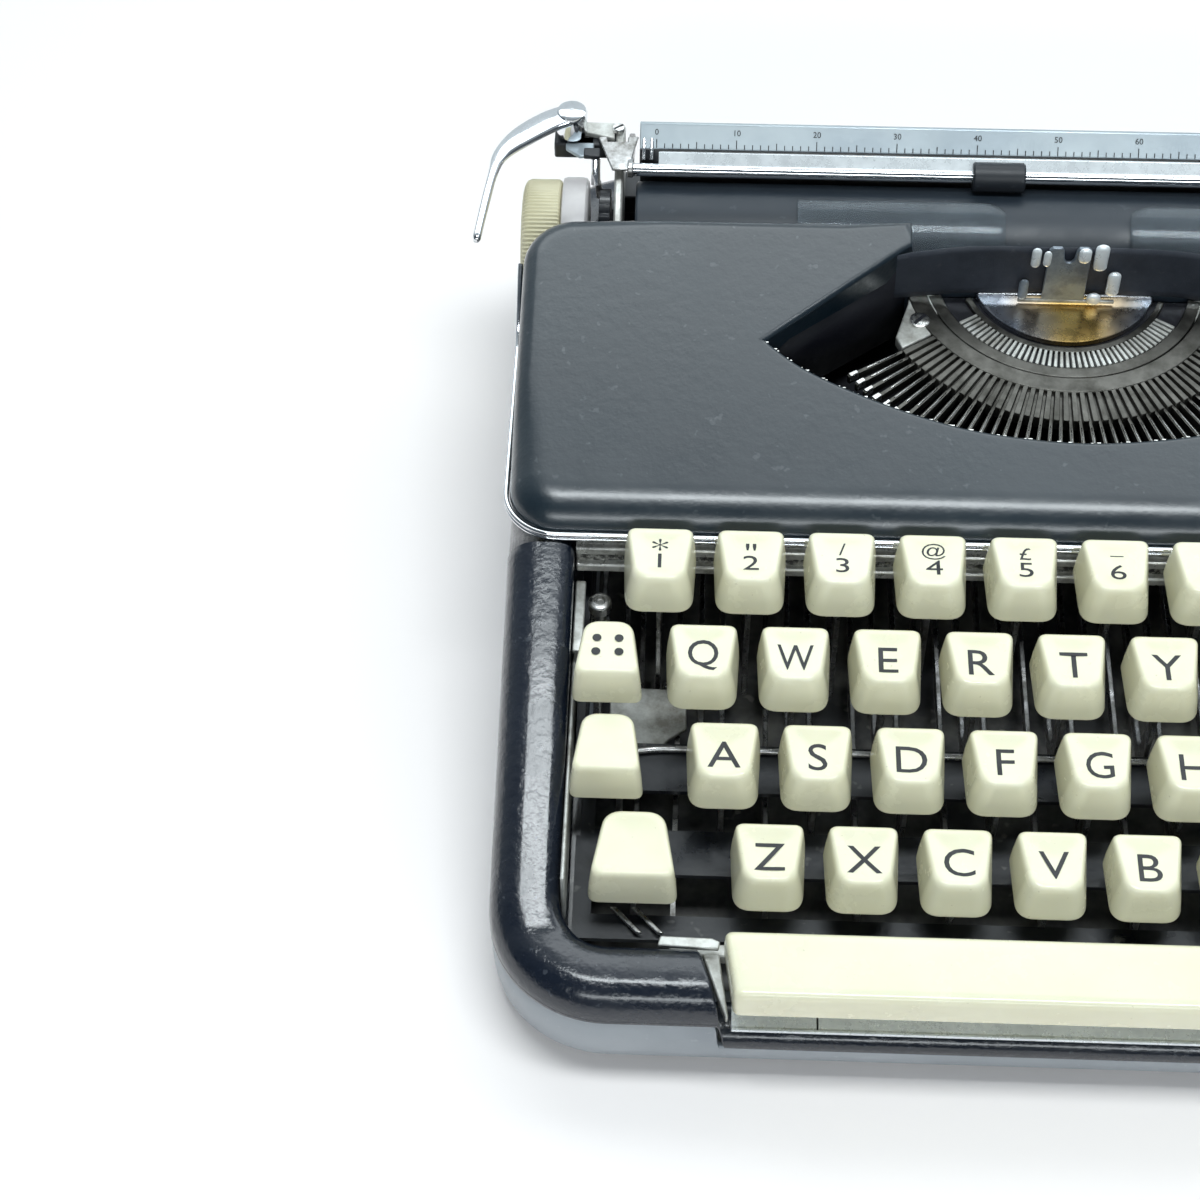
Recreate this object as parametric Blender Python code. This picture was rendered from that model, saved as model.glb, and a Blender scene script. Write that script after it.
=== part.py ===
# Flat portable typewriter: case, keyboard, type basket and sliding carriage.
# Lengths are in millimetres here and become metres when a mesh is made.
# x runs left to right, y from the typist to the back, z up from the table.
import math

import bmesh
import bpy
from mathutils import Matrix, Vector

MM = 0.001
GAP = 0.3  # clearance between neighbouring pieces

# ---- case ----
CASE_HALF_WIDTH = 142.2
CASE_FRONT = -128.5
CASE_BACK = 108.0
CASE_CORNER = 25.0
FOOT_HEIGHT = 2.5
FOOT_RADIUS = 8.0
PAN_TOP = 19.5
PAN_WALL = 1.6
PAN_LIP_TOP = 9.0
RAIL_WIDTH = 14.5
RAIL_SHEET = 1.5
RAIL_FRONT_TOP = 27.0
RAIL_BACK_TOP = 50.0
RAIL_SKIRT = 9.0
FLANGE_TOP = 47.6
REAR_TOP = 31.0
LIP_TOP = 15.0
SPACE_GAP_HALF = 93.5
RAIL_END_LEAN = 0.3

# ---- ribbon cover ----
COVER_FRONT = -28.0
COVER_BACK = 52.0
COVER_FRONT_TOP = 57.0
COVER_SLOPE = 0.149
COVER_SKIRT = 49.4
COVER_SHEET = 1.5
COVER_ROLL = 8.0
OPENING_X = -18.5  # middle of the type basket

# ---- keyboard ----
KEY_PITCH = 19.05
ROW_STEP_Y = 19.66
ROW_STEP_Z = 7.29
FIRST_KEY_X = -109.25
FIRST_ROW_Y = -37.8
FIRST_ROW_TOP = 57.0
ROW_STAGGER = (0.0, 0.5, 0.75, 1.25)
CAP_WIDTH = 13.5
CAP_DEPTH = 13.3
CAP_HEIGHT = 9.8
LEVER_SHEET = 1.2
LEVER_BOTTOM = 11.4
LEVER_TOP = 14.4
FULCRUM_Y = 66.0
FULCRUM_Z = 14.0
FULCRUM_RADIUS = 2.0
SPACE_HALF = 94.4
SPACE_FRONT_HALF = 92.2
SPACE_BACK = -115.0
SPACE_TOP = 31.0

# ---- carriage ----
PLATEN_Y = 61.6
PLATEN_Z = 48.0
PLATEN_RADIUS = 15.3
PLATEN_HALF = 117.5
SHAFT_RADIUS = 3.0
KNOB_RADIUS = 15.3
KNOB_OUT = 143.5
KNOB_IN = 134.6
HUB_IN = 128.6
PLATE_X = 120.6  # inner face of the carriage end plates
PLATE_SHEET = 2.0
RAIL_BAR_TOP = 40.0
BEAM_FRONT = 79.5
BAIL_PIVOT_Y = 84.0
BAIL_PIVOT_Z = 60.0
BAIL_ROLLER_RADIUS = 3.7
BAIL_ANGLE = 111.0

# ---- type basket ----
SEGMENT_Y = 52.2
SEGMENT_TOP = 51.0
SEGMENT_CHORD = 45.4
SLOT_RADIUS = 33.0
BAR_END_RADIUS = 60.0
TYPEBAR_COUNT = 42
RIBBON_WIDTH = 10.4


# ------------------------------------------------------------------ materials
def material(name, colour, roughness, metallic):
    mat = bpy.data.materials.new(name)
    mat.use_nodes = True
    shader = mat.node_tree.nodes["Principled BSDF"]
    shader.inputs["Base Color"].default_value = (*colour, 1.0)
    shader.inputs["Roughness"].default_value = roughness
    shader.inputs["Metallic"].default_value = metallic
    mat.diffuse_color = (*colour, 1.0)
    return mat


# ------------------------------------------------------------------ mesh tools
def addObject(name, mesh, slot, origin=(0, 0, 0), smooth=False):
    """Link a mesh given in world millimetres, with its origin where it turns."""
    at = Vector(origin)
    mesh.transform(Matrix.Translation(-at))
    mesh.transform(Matrix.Scale(MM, 4))
    for face in mesh.polygons:
        face.use_smooth = smooth
    obj = bpy.data.objects.new(name, mesh)
    obj.location = at * MM
    mesh.materials.clear()
    mesh.materials.append(MATERIALS[slot])
    bpy.context.scene.collection.objects.link(obj)
    return obj


def finishMesh(bm, name):
    bmesh.ops.recalc_face_normals(bm, faces=bm.faces[:])
    mesh = bpy.data.meshes.new(name)
    bm.to_mesh(mesh)
    bm.free()
    return mesh


def loft(rings, name="body"):
    """Skin equal rings of points and close both ends."""
    bm = bmesh.new()
    rows = [[bm.verts.new(p) for p in ring] for ring in rings]
    count = len(rings[0])
    for low, high in zip(rows, rows[1:]):
        for i in range(count):
            j = (i + 1) % count
            bm.faces.new((low[i], low[j], high[j], high[i]))
    bm.faces.new(rows[0])
    bm.faces.new(rows[-1])
    return finishMesh(bm, name)


def hoop(rings, name="hoop"):
    """Skin rings that follow each other and join the last to the first."""
    bm = bmesh.new()
    rows = [[bm.verts.new(p) for p in ring] for ring in rings]
    count = len(rings[0])
    for k in range(len(rows)):
        low = rows[k]
        high = rows[(k + 1) % len(rows)]
        for i in range(count):
            j = (i + 1) % count
            bm.faces.new((low[i], low[j], high[j], high[i]))
    return finishMesh(bm, name)


def prismX(outline, x0, x1):
    """Extrude a (y, z) outline along x."""
    return loft([[(x, y, z) for y, z in outline] for x in (x0, x1)])


def prismZ(outline, z0, z1):
    """Extrude an (x, y) outline along z."""
    return loft([[(x, y, z) for x, y in outline] for z in (z0, z1)])


def block(x0, x1, y0, y1, z0, z1):
    return prismZ([(x0, y0), (x1, y0), (x1, y1), (x0, y1)], z0, z1)


def turnedX(profile, y, z, steps):
    """Turn (x, radius) pairs round an axis along x."""
    rings = []
    for x, radius in profile:
        ring = []
        for i in range(steps):
            a = 2 * math.pi * i / steps
            ring.append((x, y + radius * math.cos(a), z + radius * math.sin(a)))
        rings.append(ring)
    return loft(rings)


def turnedZ(profile, x, y, steps):
    """Turn (z, radius) pairs round an upright axis."""
    rings = []
    for z, radius in profile:
        ring = []
        for i in range(steps):
            a = 2 * math.pi * i / steps
            ring.append((x + radius * math.cos(a), y + radius * math.sin(a), z))
        rings.append(ring)
    return loft(rings)


def combine(first, others, operation="UNION"):
    """Boolean a list of meshes into the first one and return the result."""
    base = bpy.data.objects.new("base", first)
    bpy.context.scene.collection.objects.link(base)
    for mesh in others:
        tool = bpy.data.objects.new("tool", mesh)
        bpy.context.scene.collection.objects.link(tool)
        step = base.modifiers.new("step", "BOOLEAN")
        step.operation = operation
        step.solver = "EXACT"
        step.object = tool
        graph = bpy.context.evaluated_depsgraph_get()
        result = bpy.data.meshes.new_from_object(base.evaluated_get(graph))
        base.modifiers.remove(step)
        base.data = result
        bpy.data.objects.remove(tool)
    mesh = base.data
    bpy.data.objects.remove(base)
    return mesh


def arc(cx, cy, radius, start, end, steps):
    """Points on an arc, angles in degrees."""
    points = []
    for i in range(steps + 1):
        a = math.radians(start + (end - start) * i / steps)
        points.append((cx + radius * math.cos(a), cy + radius * math.sin(a)))
    return points


def insetLoop(points, distances):
    """Move each edge of an anticlockwise loop inwards by its own distance."""
    count = len(points)
    result = []
    for i in range(count):
        before = Vector(points[i - 1][:2])
        here = Vector(points[i][:2])
        after = Vector(points[(i + 1) % count][:2])
        d0 = (here - before).normalized()
        d1 = (after - here).normalized()
        n0 = Vector((-d0.y, d0.x)) * distances[i - 1]
        n1 = Vector((-d1.y, d1.x)) * distances[i]
        cross = d0.x * d1.y - d0.y * d1.x
        if abs(cross) < 0.05:
            moved = here + (n0 + n1) / 2
        else:
            t = ((n1 - n0).x * d1.y - (n1 - n0).y * d1.x) / cross
            moved = here + n0 + d0 * t
        result.append((moved.x, moved.y))
    return result


# ------------------------------------------------------------------ case
def casePlan(inset, sideYs, frontXs):
    """Rounded rectangle, anticlockwise from the front left corner's end."""
    half = CASE_HALF_WIDTH - inset
    front = CASE_FRONT + inset
    back = CASE_BACK - inset
    r = CASE_CORNER - inset
    points = arc(-half + r, front + r, r, 180, 270, 5)
    points += [(x, front) for x in frontXs]
    points += arc(half - r, front + r, r, 270, 360, 5)
    points += [(half, y) for y in sideYs]
    points += arc(half - r, back - r, r, 0, 90, 5)
    points += arc(-half + r, back - r, r, 90, 180, 5)
    points += [(-half, y) for y in reversed(sideYs)]
    return points


def blendBetween(value, start, end, low, high):
    t = min(max((value - start) / (end - start), 0.0), 1.0)
    return low + (high - low) * t


def sideTop(y):
    """Height of the upper case along its side."""
    if y < COVER_FRONT - 2:
        return blendBetween(y, -112, COVER_FRONT - 2, RAIL_FRONT_TOP, RAIL_BACK_TOP)
    if y < 30:
        return FLANGE_TOP
    return blendBetween(y, 30, 44, FLANGE_TOP, REAR_TOP)


SIDE_YS = (-100, -80, -60, -42, COVER_FRONT - 2.2, COVER_FRONT - 0.6, 0, 29, 44, 60)
LIP_XS = (-SPACE_GAP_HALF - 1.5, -SPACE_GAP_HALF, -40, 40, SPACE_GAP_HALF, SPACE_GAP_HALF + 1.5)


def inLip(x, y):
    return abs(x) <= SPACE_GAP_HALF + 0.1 and y < CASE_FRONT + CASE_CORNER * 0.8


def buildBasePan():
    lip = (-SPACE_GAP_HALF - 3, -SPACE_GAP_HALF - 2, -40, 40, SPACE_GAP_HALF + 2, SPACE_GAP_HALF + 3)
    rings = []
    for inset, level in ((9, "floor"), (1.5, "turn"), (0.4, "rim"), (0.4 + PAN_WALL, "rim"),
                         (3.1, "inTurn"), (10, "inFloor")):
        ring = []
        for x, y in casePlan(inset, SIDE_YS, lip):
            low = abs(x) <= SPACE_GAP_HALF + 2.1 and y < CASE_FRONT + 12
            top = PAN_LIP_TOP if low else PAN_TOP
            heights = {"floor": FOOT_HEIGHT, "turn": FOOT_HEIGHT + 3.5, "rim": top,
                       "inTurn": FOOT_HEIGHT + 4, "inFloor": FOOT_HEIGHT + 1.4}
            ring.append((x, y, heights[level]))
        rings.append(ring)
    addObject("base_pan", loft(rings), "panPaint")
    for sx in (-1, 1):
        for sy, yName, y in ((-1, "front", CASE_FRONT + 24), (1, "back", CASE_BACK - 24)):
            name = "foot_" + yName + ("_left" if sx < 0 else "_right")
            x = sx * (CASE_HALF_WIDTH - 24)
            profile = ((0, FOOT_RADIUS - 1), (0.8, FOOT_RADIUS), (FOOT_HEIGHT - GAP / 6, FOOT_RADIUS))
            addObject(name, turnedZ(profile, x, y, 16), "rubber")


def buildUpperCase():
    # outer wall, rolled top, inner wall, then back along the inside of the sheet
    section = (
        (0.0, "bottom", 0.0), (0.0, "top", -6.0), (1.8, "top", -1.8), (6.0, "top", 0.0),
        (RAIL_WIDTH - 3, "top", 0.0), (RAIL_WIDTH, "top", -2.5), (RAIL_WIDTH, "skirt", 0.0),
        (RAIL_WIDTH - RAIL_SHEET, "skirt", 0.0), (RAIL_WIDTH - RAIL_SHEET, "top", -3.4),
        (6.0, "top", -1.8), (RAIL_SHEET + 1.0, "top", -4.2), (RAIL_SHEET, "bottom", 0.0))
    rings = []
    for inset, level, offset in section:
        ring = []
        for x, y in casePlan(inset, SIDE_YS, LIP_XS):
            outer = abs(x) < CASE_HALF_WIDTH - CASE_CORNER
            top = sideTop(y)
            if y < CASE_FRONT + RAIL_WIDTH + 12 and outer:
                top = RAIL_FRONT_TOP
            bottom = PAN_TOP + GAP
            skirt = max(top - RAIL_SKIRT, bottom)
            shrink = 1.0
            if inLip(x, y):
                top = LIP_TOP
                bottom = PAN_LIP_TOP + GAP
                skirt = bottom
                shrink = 0.5
            height = {"bottom": bottom, "top": top + offset * shrink, "skirt": skirt}[level]
            if inLip(x, y):
                y = CASE_FRONT + inset * 0.62
            if abs(x) > SPACE_GAP_HALF - 0.1 and abs(x) < SPACE_GAP_HALF + 2 and y < 0:
                x += math.copysign(inset * RAIL_END_LEAN, x)
            ring.append((x, y, height))
        rings.append(ring)
    addObject("upper_case", hoop(rings), "navyPaint")


def coverOutline():
    """Ribbon cover seen from above: (x, y, roll, skirt height) for each point."""
    half = CASE_HALF_WIDTH
    points = []
    for x, y in arc(-half + 11, COVER_FRONT + 11, 11, 180, 270, 4):
        points.append((x, y, COVER_ROLL, COVER_SKIRT))
    for x, y in arc(half - 11, COVER_FRONT + 11, 11, 270, 360, 4):
        points.append((x, y, COVER_ROLL if y < COVER_FRONT + 10 else 5.0, COVER_SKIRT))
    points.append((half, 8, 5.0, COVER_SKIRT))
    points.append((half, 28, 5.0, COVER_SKIRT))
    for x, y in arc(half - 12, COVER_BACK - 12, 12, 0, 90, 4):
        points.append((x, y, 4.0, blendBetween(y, 28, 43, COVER_SKIRT, 62.5)))
    opening = ((36.0, 45.5), (69.0, 18.5), (60.5, 11.5), (48.0, 5.0), (34.0, -0.6), (20.0, -4.2))
    shape = [(OPENING_X + dx, y) for dx, y in opening]
    shape.append((OPENING_X, -6.0))
    shape += [(OPENING_X - dx, y) for dx, y in reversed(opening)]
    points.append((OPENING_X + 36.0, COVER_BACK, 1.2, 63.4))
    for x, y in shape:
        points.append((x, y, 1.2, 63.4 if y > 40 else 55.0))
    points.append((OPENING_X - 36.0, COVER_BACK, 3.5, 63.4))
    for x, y in arc(-half + 12, COVER_BACK - 12, 12, 90, 180, 4):
        points.append((x, y, 5.0, blendBetween(y, 28, 43, COVER_SKIRT, 62.5)))
    points.append((-half, 28, 5.0, COVER_SKIRT))
    points.append((-half, 8, 5.0, COVER_SKIRT))
    return points


def coverTop(y):
    return COVER_FRONT_TOP + COVER_SLOPE * (y - COVER_FRONT - COVER_ROLL)


def buildRibbonCover():
    outline = coverOutline()
    flat = [(p[0], p[1]) for p in outline]
    rolls = [p[2] for p in outline]
    half = [r * 0.3 for r in rolls]
    sheet = [COVER_SHEET] * len(outline)
    rollOuter = insetLoop(flat, half)
    rollTop = insetLoop(flat, rolls)
    inner = insetLoop(flat, sheet)
    innerTop = insetLoop(flat, [max(r, COVER_SHEET) + 0.1 for r in rolls])

    def shoulder(i):
        return coverTop(flat[i][1]) - rolls[i] * 0.75

    count = range(len(flat))
    rings = [
        [(*rollTop[i], coverTop(rollTop[i][1])) for i in count],
        [(*rollOuter[i], coverTop(rollOuter[i][1]) - rolls[i] * 0.2) for i in count],
        [(*flat[i], max(shoulder(i), outline[i][3] + 1.0)) for i in count],
        [(*flat[i], outline[i][3]) for i in count],
        [(*inner[i], outline[i][3]) for i in count],
        [(*inner[i], max(shoulder(i) - 0.4, outline[i][3] + 0.6)) for i in count],
        [(*innerTop[i], coverTop(innerTop[i][1]) - COVER_SHEET) for i in count]]
    addObject("ribbon_cover", loft(rings), "coverPaint")


def buildCoverTrim():
    """Bright strip round the lower edge of the cover, open at the back."""
    half = CASE_HALF_WIDTH + GAP
    path = [(-half, 42.0, 59.5), (-half, 36.0, 55.6), (-half, 28, 50.6)]
    for x, y in arc(-half + 11, COVER_FRONT + 11 - GAP, 11, 180, 270, 5):
        path.append((x, y, 49.2))
    path += [(-x, y, z) for x, y, z in reversed(path)]
    rings = []
    for i, (x, y, z) in enumerate(path):
        x0, y0, _ = path[max(i - 1, 0)]
        x1, y1, _ = path[min(i + 1, len(path) - 1)]
        d = Vector((x1 - x0, y1 - y0)).normalized()
        out = Vector((d.y, -d.x))
        ring = []
        for step, rise in ((0, 0), (1.3, 0.2), (1.3, 2.2), (0, 2.4)):
            ring.append((x + out.x * step, y + out.y * step, z + rise))
        rings.append(ring)
    addObject("cover_trim", loft(rings), "chrome")


# ------------------------------------------------------------------ keyboard
def rowY(row):
    return FIRST_ROW_Y - ROW_STEP_Y * row


def rowTop(row):
    return FIRST_ROW_TOP - ROW_STEP_Z * row


def capMesh(x, y, top, backWidth, frontWidth, depth, height=CAP_HEIGHT, dome=False):
    """Key cap: flared block with rounded corners."""
    def ring(grow, z, shift):
        back = backWidth / 2 + grow
        front = frontWidth / 2 + grow
        d = depth / 2 + grow
        cut = 2.4 if not dome else 1.8
        backCut = 1.6 if not dome else 3.6
        outline = (
            (-front + cut, -d), (front - cut, -d), (front - cut * 0.3, -d + cut * 0.3),
            (front, -d + cut), (back, d - backCut), (back - backCut * 0.3, d - backCut * 0.3),
            (back - backCut, d), (-back + backCut, d), (-back + backCut * 0.3, d - backCut * 0.3),
            (-back, d - backCut), (-front, -d + cut), (-front + cut * 0.3, -d + cut * 0.3))
        return [(x + u, y + v + shift, z) for u, v in outline]
    return loft([ring(0.5, top - height, -0.5), ring(0.5, top - height + 5.0, -0.3),
                 ring(0.0, top - 0.8, 0.0), ring(-0.8, top, 0.0)])


def leverMesh(x, y, capBottom):
    """Flat steel lever: hooks over the fulcrum rod and stands up into its cap."""
    hook = FULCRUM_RADIUS + GAP
    outline = [(y - 3.0, LEVER_BOTTOM), (FULCRUM_Y - hook, LEVER_BOTTOM)]
    outline += arc(FULCRUM_Y, FULCRUM_Z, hook, 180, 0, 6)
    outline += [
        (FULCRUM_Y + hook, LEVER_BOTTOM), (FULCRUM_Y + hook + 2, LEVER_BOTTOM),
        (FULCRUM_Y + hook + 2, FULCRUM_Z + hook + 1.6), (FULCRUM_Y - 8, FULCRUM_Z + hook + 1.6),
        (FULCRUM_Y - 12, LEVER_TOP), (y + 3.0, LEVER_TOP), (y + 1.6, LEVER_TOP + 1.6),
        (y + 1.6, capBottom + 1.2), (y - 3.0, capBottom + 1.2)]
    return prismX(outline, x - LEVER_SHEET / 2, x + LEVER_SHEET / 2)


def addKey(name, x, row, leverShift=0.0, widths=None, depth=CAP_DEPTH, dome=False, back=0.0):
    y = rowY(row) + back
    top = rowTop(row)
    wide, narrow = widths or (CAP_WIDTH, CAP_WIDTH - 2.6)
    cap = capMesh(x, y, top, wide, narrow, depth, dome=dome)
    lever = leverMesh(x + leverShift, y, top - CAP_HEIGHT)
    addObject(name, combine(cap, [lever]), "ivory", (x, FULCRUM_Y, FULCRUM_Z))


def buildKeys():
    rows = ("1234567", "qwerty", "asdfgh", "zxcvb")
    groups = ((7, 12), (6, 11), (6, 11), (5, 10))
    for row, letters in enumerate(rows):
        startX = FIRST_KEY_X + ROW_STAGGER[row] * KEY_PITCH
        for column, letter in enumerate(letters):
            addKey("key_" + letter, startX + column * KEY_PITCH, row)
        first, last = groups[row]
        meshes = []
        for column in range(first, last):
            x = startX + column * KEY_PITCH
            y = rowY(row)
            top = rowTop(row)
            meshes.append(capMesh(x, y, top, CAP_WIDTH, CAP_WIDTH - 2.6, CAP_DEPTH))
            meshes.append(leverMesh(x, y, top - CAP_HEIGHT))
        # a cross strip ties the row's right-hand levers together
        left = startX + first * KEY_PITCH - LEVER_SHEET / 4
        right = startX + (last - 1) * KEY_PITCH + LEVER_SHEET / 4
        tieZ = rowTop(row) - CAP_HEIGHT - 3.5
        tieY = rowY(row) - 0.7
        tie = block(left, right, tieY - 1.2, tieY + 1.2, tieZ - 0.8, tieZ + 0.8)
        mesh = combine(tie, meshes)
        addObject("keys_right_row_" + str(row + 1), mesh, "ivory", (left, FULCRUM_Y, FULCRUM_Z))


def buildSideKeys():
    addKey("key_margin_release", -119.3, 1, -2.6, (12.6, 13.2), 12.9, True)
    addKey("key_shift_lock", -119.0, 2, 2.5, (12.6, 13.6), 13.4, True, 0.9)
    addKey("key_backspace", 118.3, 1, 0.0, (12.6, 13.2), 12.9, True)
    # both shift keys sit on one rocking shaft
    x = 112.9
    y = rowY(3) + 0.8
    top = rowTop(3)
    pieces = []
    for side in (-1, 1):
        pieces.append(capMesh(side * x, y, top, 14.0, 16.8, 14.8, dome=True))
        pieces.append(leverMesh(side * x, y, top - CAP_HEIGHT))
    shaftY = FULCRUM_Y + 10
    shaft = block(-x - 0.4, x + 0.4, shaftY - 1.3, shaftY + 1.3, LEVER_BOTTOM + 0.6, LEVER_TOP + 0.2)
    for side in (-1, 1):
        tail = side * x
        pieces.append(block(tail - 0.5, tail + 0.5, FULCRUM_Y + FULCRUM_RADIUS + GAP + 1, shaftY,
                            LEVER_BOTTOM + 0.8, LEVER_TOP))
    mesh = combine(shaft, pieces)
    addObject("key_shift_pair", mesh, "ivory", (0, FULCRUM_Y, FULCRUM_Z))


def buildSpaceBar():
    rings = []
    for grow, z in ((-0.3, SPACE_TOP - 8.2), (0.0, SPACE_TOP - 7.0), (-0.2, SPACE_TOP - 0.8),
                    (-1.0, SPACE_TOP)):
        front = CASE_FRONT + 0.2 - grow
        back = SPACE_BACK + grow
        w = SPACE_HALF + grow
        f = SPACE_FRONT_HALF + grow
        ring = [(-f + 1.0, front), (f - 1.0, front), (f, front + 1.0), (w, back - 1.6),
                (w - 1.2, back), (-w + 1.2, back), (-w, back - 1.6), (-f, front + 1.0)]
        rings.append([(px, py, z) for px, py in ring])
    armX = 104.6
    beam = block(-armX - 0.5, armX + 0.5, SPACE_BACK + 1.6, SPACE_BACK + 4.6, 17.6, 20.8)
    web = block(-60, 60, SPACE_BACK - 3.4, SPACE_BACK + 2.6, 19.0, SPACE_TOP - 4)
    pieces = [beam, web]
    for side in (-1, 1):
        pieces.append(leverMesh(side * armX, SPACE_BACK + 4.6, 17.9))
    mesh = combine(loft(rings), pieces)
    addObject("space_bar", mesh, "ivory", (0, FULCRUM_Y, FULCRUM_Z))


# ------------------------------------------------------------------ frame
def buildChannelBar():
    # C-shaped strip facing the typist, behind the number keys
    y0 = COVER_FRONT - 1.7
    outline = [(y0, 39.5), (y0 + 3, 39.5), (y0 + 3, 47.2), (y0, 47.2), (y0, 45.6), (y0 + 1.6, 45.6),
               (y0 + 1.6, 41.1), (y0, 41.1)]
    half = CASE_HALF_WIDTH - RAIL_WIDTH - GAP
    addObject("channel_bar", prismX(outline, -half, half), "steel")


def buildChassis():
    inner = 124.4
    side = [(-108, 5.2), (86, 5.2), (86, RAIL_BAR_TOP - 8), (78.5, RAIL_BAR_TOP - 8),
            (38, 30.0), (-24, 30.0), (-60, 25.0), (-108, 12.5)]
    plates = [prismX(side, s * inner, s * (inner + 1.8)) for s in (-1, 1)]
    rod = turnedX(((-inner - 0.9, FULCRUM_RADIUS), (inner + 0.9, FULCRUM_RADIUS)),
                  FULCRUM_Y, FULCRUM_Z, 12)
    railBar = block(-inner - 0.9, inner + 0.9, 79, 86, RAIL_BAR_TOP - 9, RAIL_BAR_TOP - 4)
    railTop = block(-inner - 0.9, inner + 0.9, 82.5, 85.5, RAIL_BAR_TOP - 5, RAIL_BAR_TOP)
    # black key plate with one long slot for each of the two front rows
    y0 = -61.5
    y1 = -107.5
    z0 = 20.8
    z1 = 16.6
    plateOutline = [(y0, z0), (y0, z0 - 1.2), (y1, z1 - 1.2), (y1, z1)]
    keyPlate = prismX(plateOutline, -inner - 0.9, inner + 0.9)
    slots = []
    for row in (2, 3):
        slots.append(block(-121.5, 121.5, rowY(row) - 5.2, rowY(row) + 4.2, 8, 30))
    keyPlate = combine(keyPlate, slots, "DIFFERENCE")
    shelf = block(-inner - 0.9, inner + 0.9, 38.5, 42.5, 26.0, 28.4)
    post = block(-40, 2, 39.0, 42.0, 27.0, 42.0)
    mesh = combine(plates[0], [plates[1], rod, railBar, railTop, keyPlate, shelf, post])
    addObject("chassis", mesh, "blackSteel")


# ------------------------------------------------------------------ type basket
def buildTypeBasket():
    radius = SLOT_RADIUS
    rise = SEGMENT_CHORD - SEGMENT_Y
    start = 180 + math.degrees(math.asin(-rise / radius))
    end = 540 - start
    outline = arc(OPENING_X, SEGMENT_Y, radius, start, end, 24)
    addObject("type_segment", prismZ(outline, SEGMENT_TOP - 8.5, SEGMENT_TOP), "steel")

    # resting type bars, laid out like the teeth of a comb round the segment
    inner = SLOT_RADIUS + GAP
    root = SLOT_RADIUS + 3.0
    first = 213.0
    last = 327.0
    step = (last - first) / (TYPEBAR_COUNT - 1)
    halfBar = 0.6
    outline = arc(OPENING_X, SEGMENT_Y, inner, last + 2, first - 2, 30)
    for k in range(TYPEBAR_COUNT):
        angle = first + step * k
        for r, side in ((root, -1), (BAR_END_RADIUS, -1), (BAR_END_RADIUS, 1), (root, 1)):
            a = math.radians(angle) + side * halfBar / r
            outline.append((OPENING_X + r * math.cos(a), SEGMENT_Y + r * math.sin(a)))
    mesh = prismZ(outline, SEGMENT_TOP - 3.2, SEGMENT_TOP - 0.4)
    addObject("type_bars", mesh, "steel")

    # upright guide with a notch that steers each type bar to the printing point
    x = OPENING_X - 1.0
    z = SEGMENT_TOP + GAP
    outline = [(x - 4.5, z), (x + 4.5, z), (x + 4.5, z + 14.5), (x + 1.2, z + 14.5),
               (x + 0.6, z + 10.5), (x - 0.6, z + 10.5), (x - 1.2, z + 14.5), (x - 4.5, z + 14.5)]
    y = SEGMENT_CHORD - 3.6
    guide = loft([[(px, py, pz) for px, pz in outline] for py in (y, y + 1.2)])
    addObject("type_guide", guide, "steel")

    # clear card holders that follow the front of the platen
    near = PLATEN_RADIUS + 0.9
    far = near + 1.0
    for name, side in (("card_holder_left", -1), ("card_holder_right", 1)):
        x0 = OPENING_X + side * 14.0
        x1 = OPENING_X + side * 62.0
        outline = arc(PLATEN_Y, PLATEN_Z, near, 92, 166, 10)
        outline += arc(PLATEN_Y, PLATEN_Z, far, 166, 92, 10)
        addObject(name, prismX(outline, min(x0, x1), max(x0, x1)), "clear")


def buildRibbon():
    spools = (("spool_left", -106.0), ("spool_right", 92.0))
    y = 8.0
    for name, x in spools:
        profile = ((37.0, 5.0), (37.0, 17.5), (38.2, 17.5), (38.2, 14.5), (51.0, 14.5), (51.0, 17.5),
                   (52.2, 17.5), (52.2, 5.0), (55.0, 4.0))
        addObject(name, turnedZ(profile, x, y, 20), "spoolMetal", (x, y, 37.0))
    # the ribbon runs from one spool past the printing point to the other
    path = [(-110.0, 26.4, 51.4), (-96.0, 38.6, 51.4), (-58.0, 42.6, 51.8), (OPENING_X - 20, 43.6, 53.4),
            (OPENING_X + 20, 43.6, 53.4), (23.0, 42.6, 51.8), (84.0, 38.6, 51.4), (96.0, 26.4, 51.4)]
    rings = []
    for px, py, low in path:
        high = low + RIBBON_WIDTH
        rings.append([(px, py, low), (px, py + 0.5, low), (px, py + 0.5, high), (px, py, high)])
    addObject("ribbon", loft(rings), "ribbonCloth")


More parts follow.
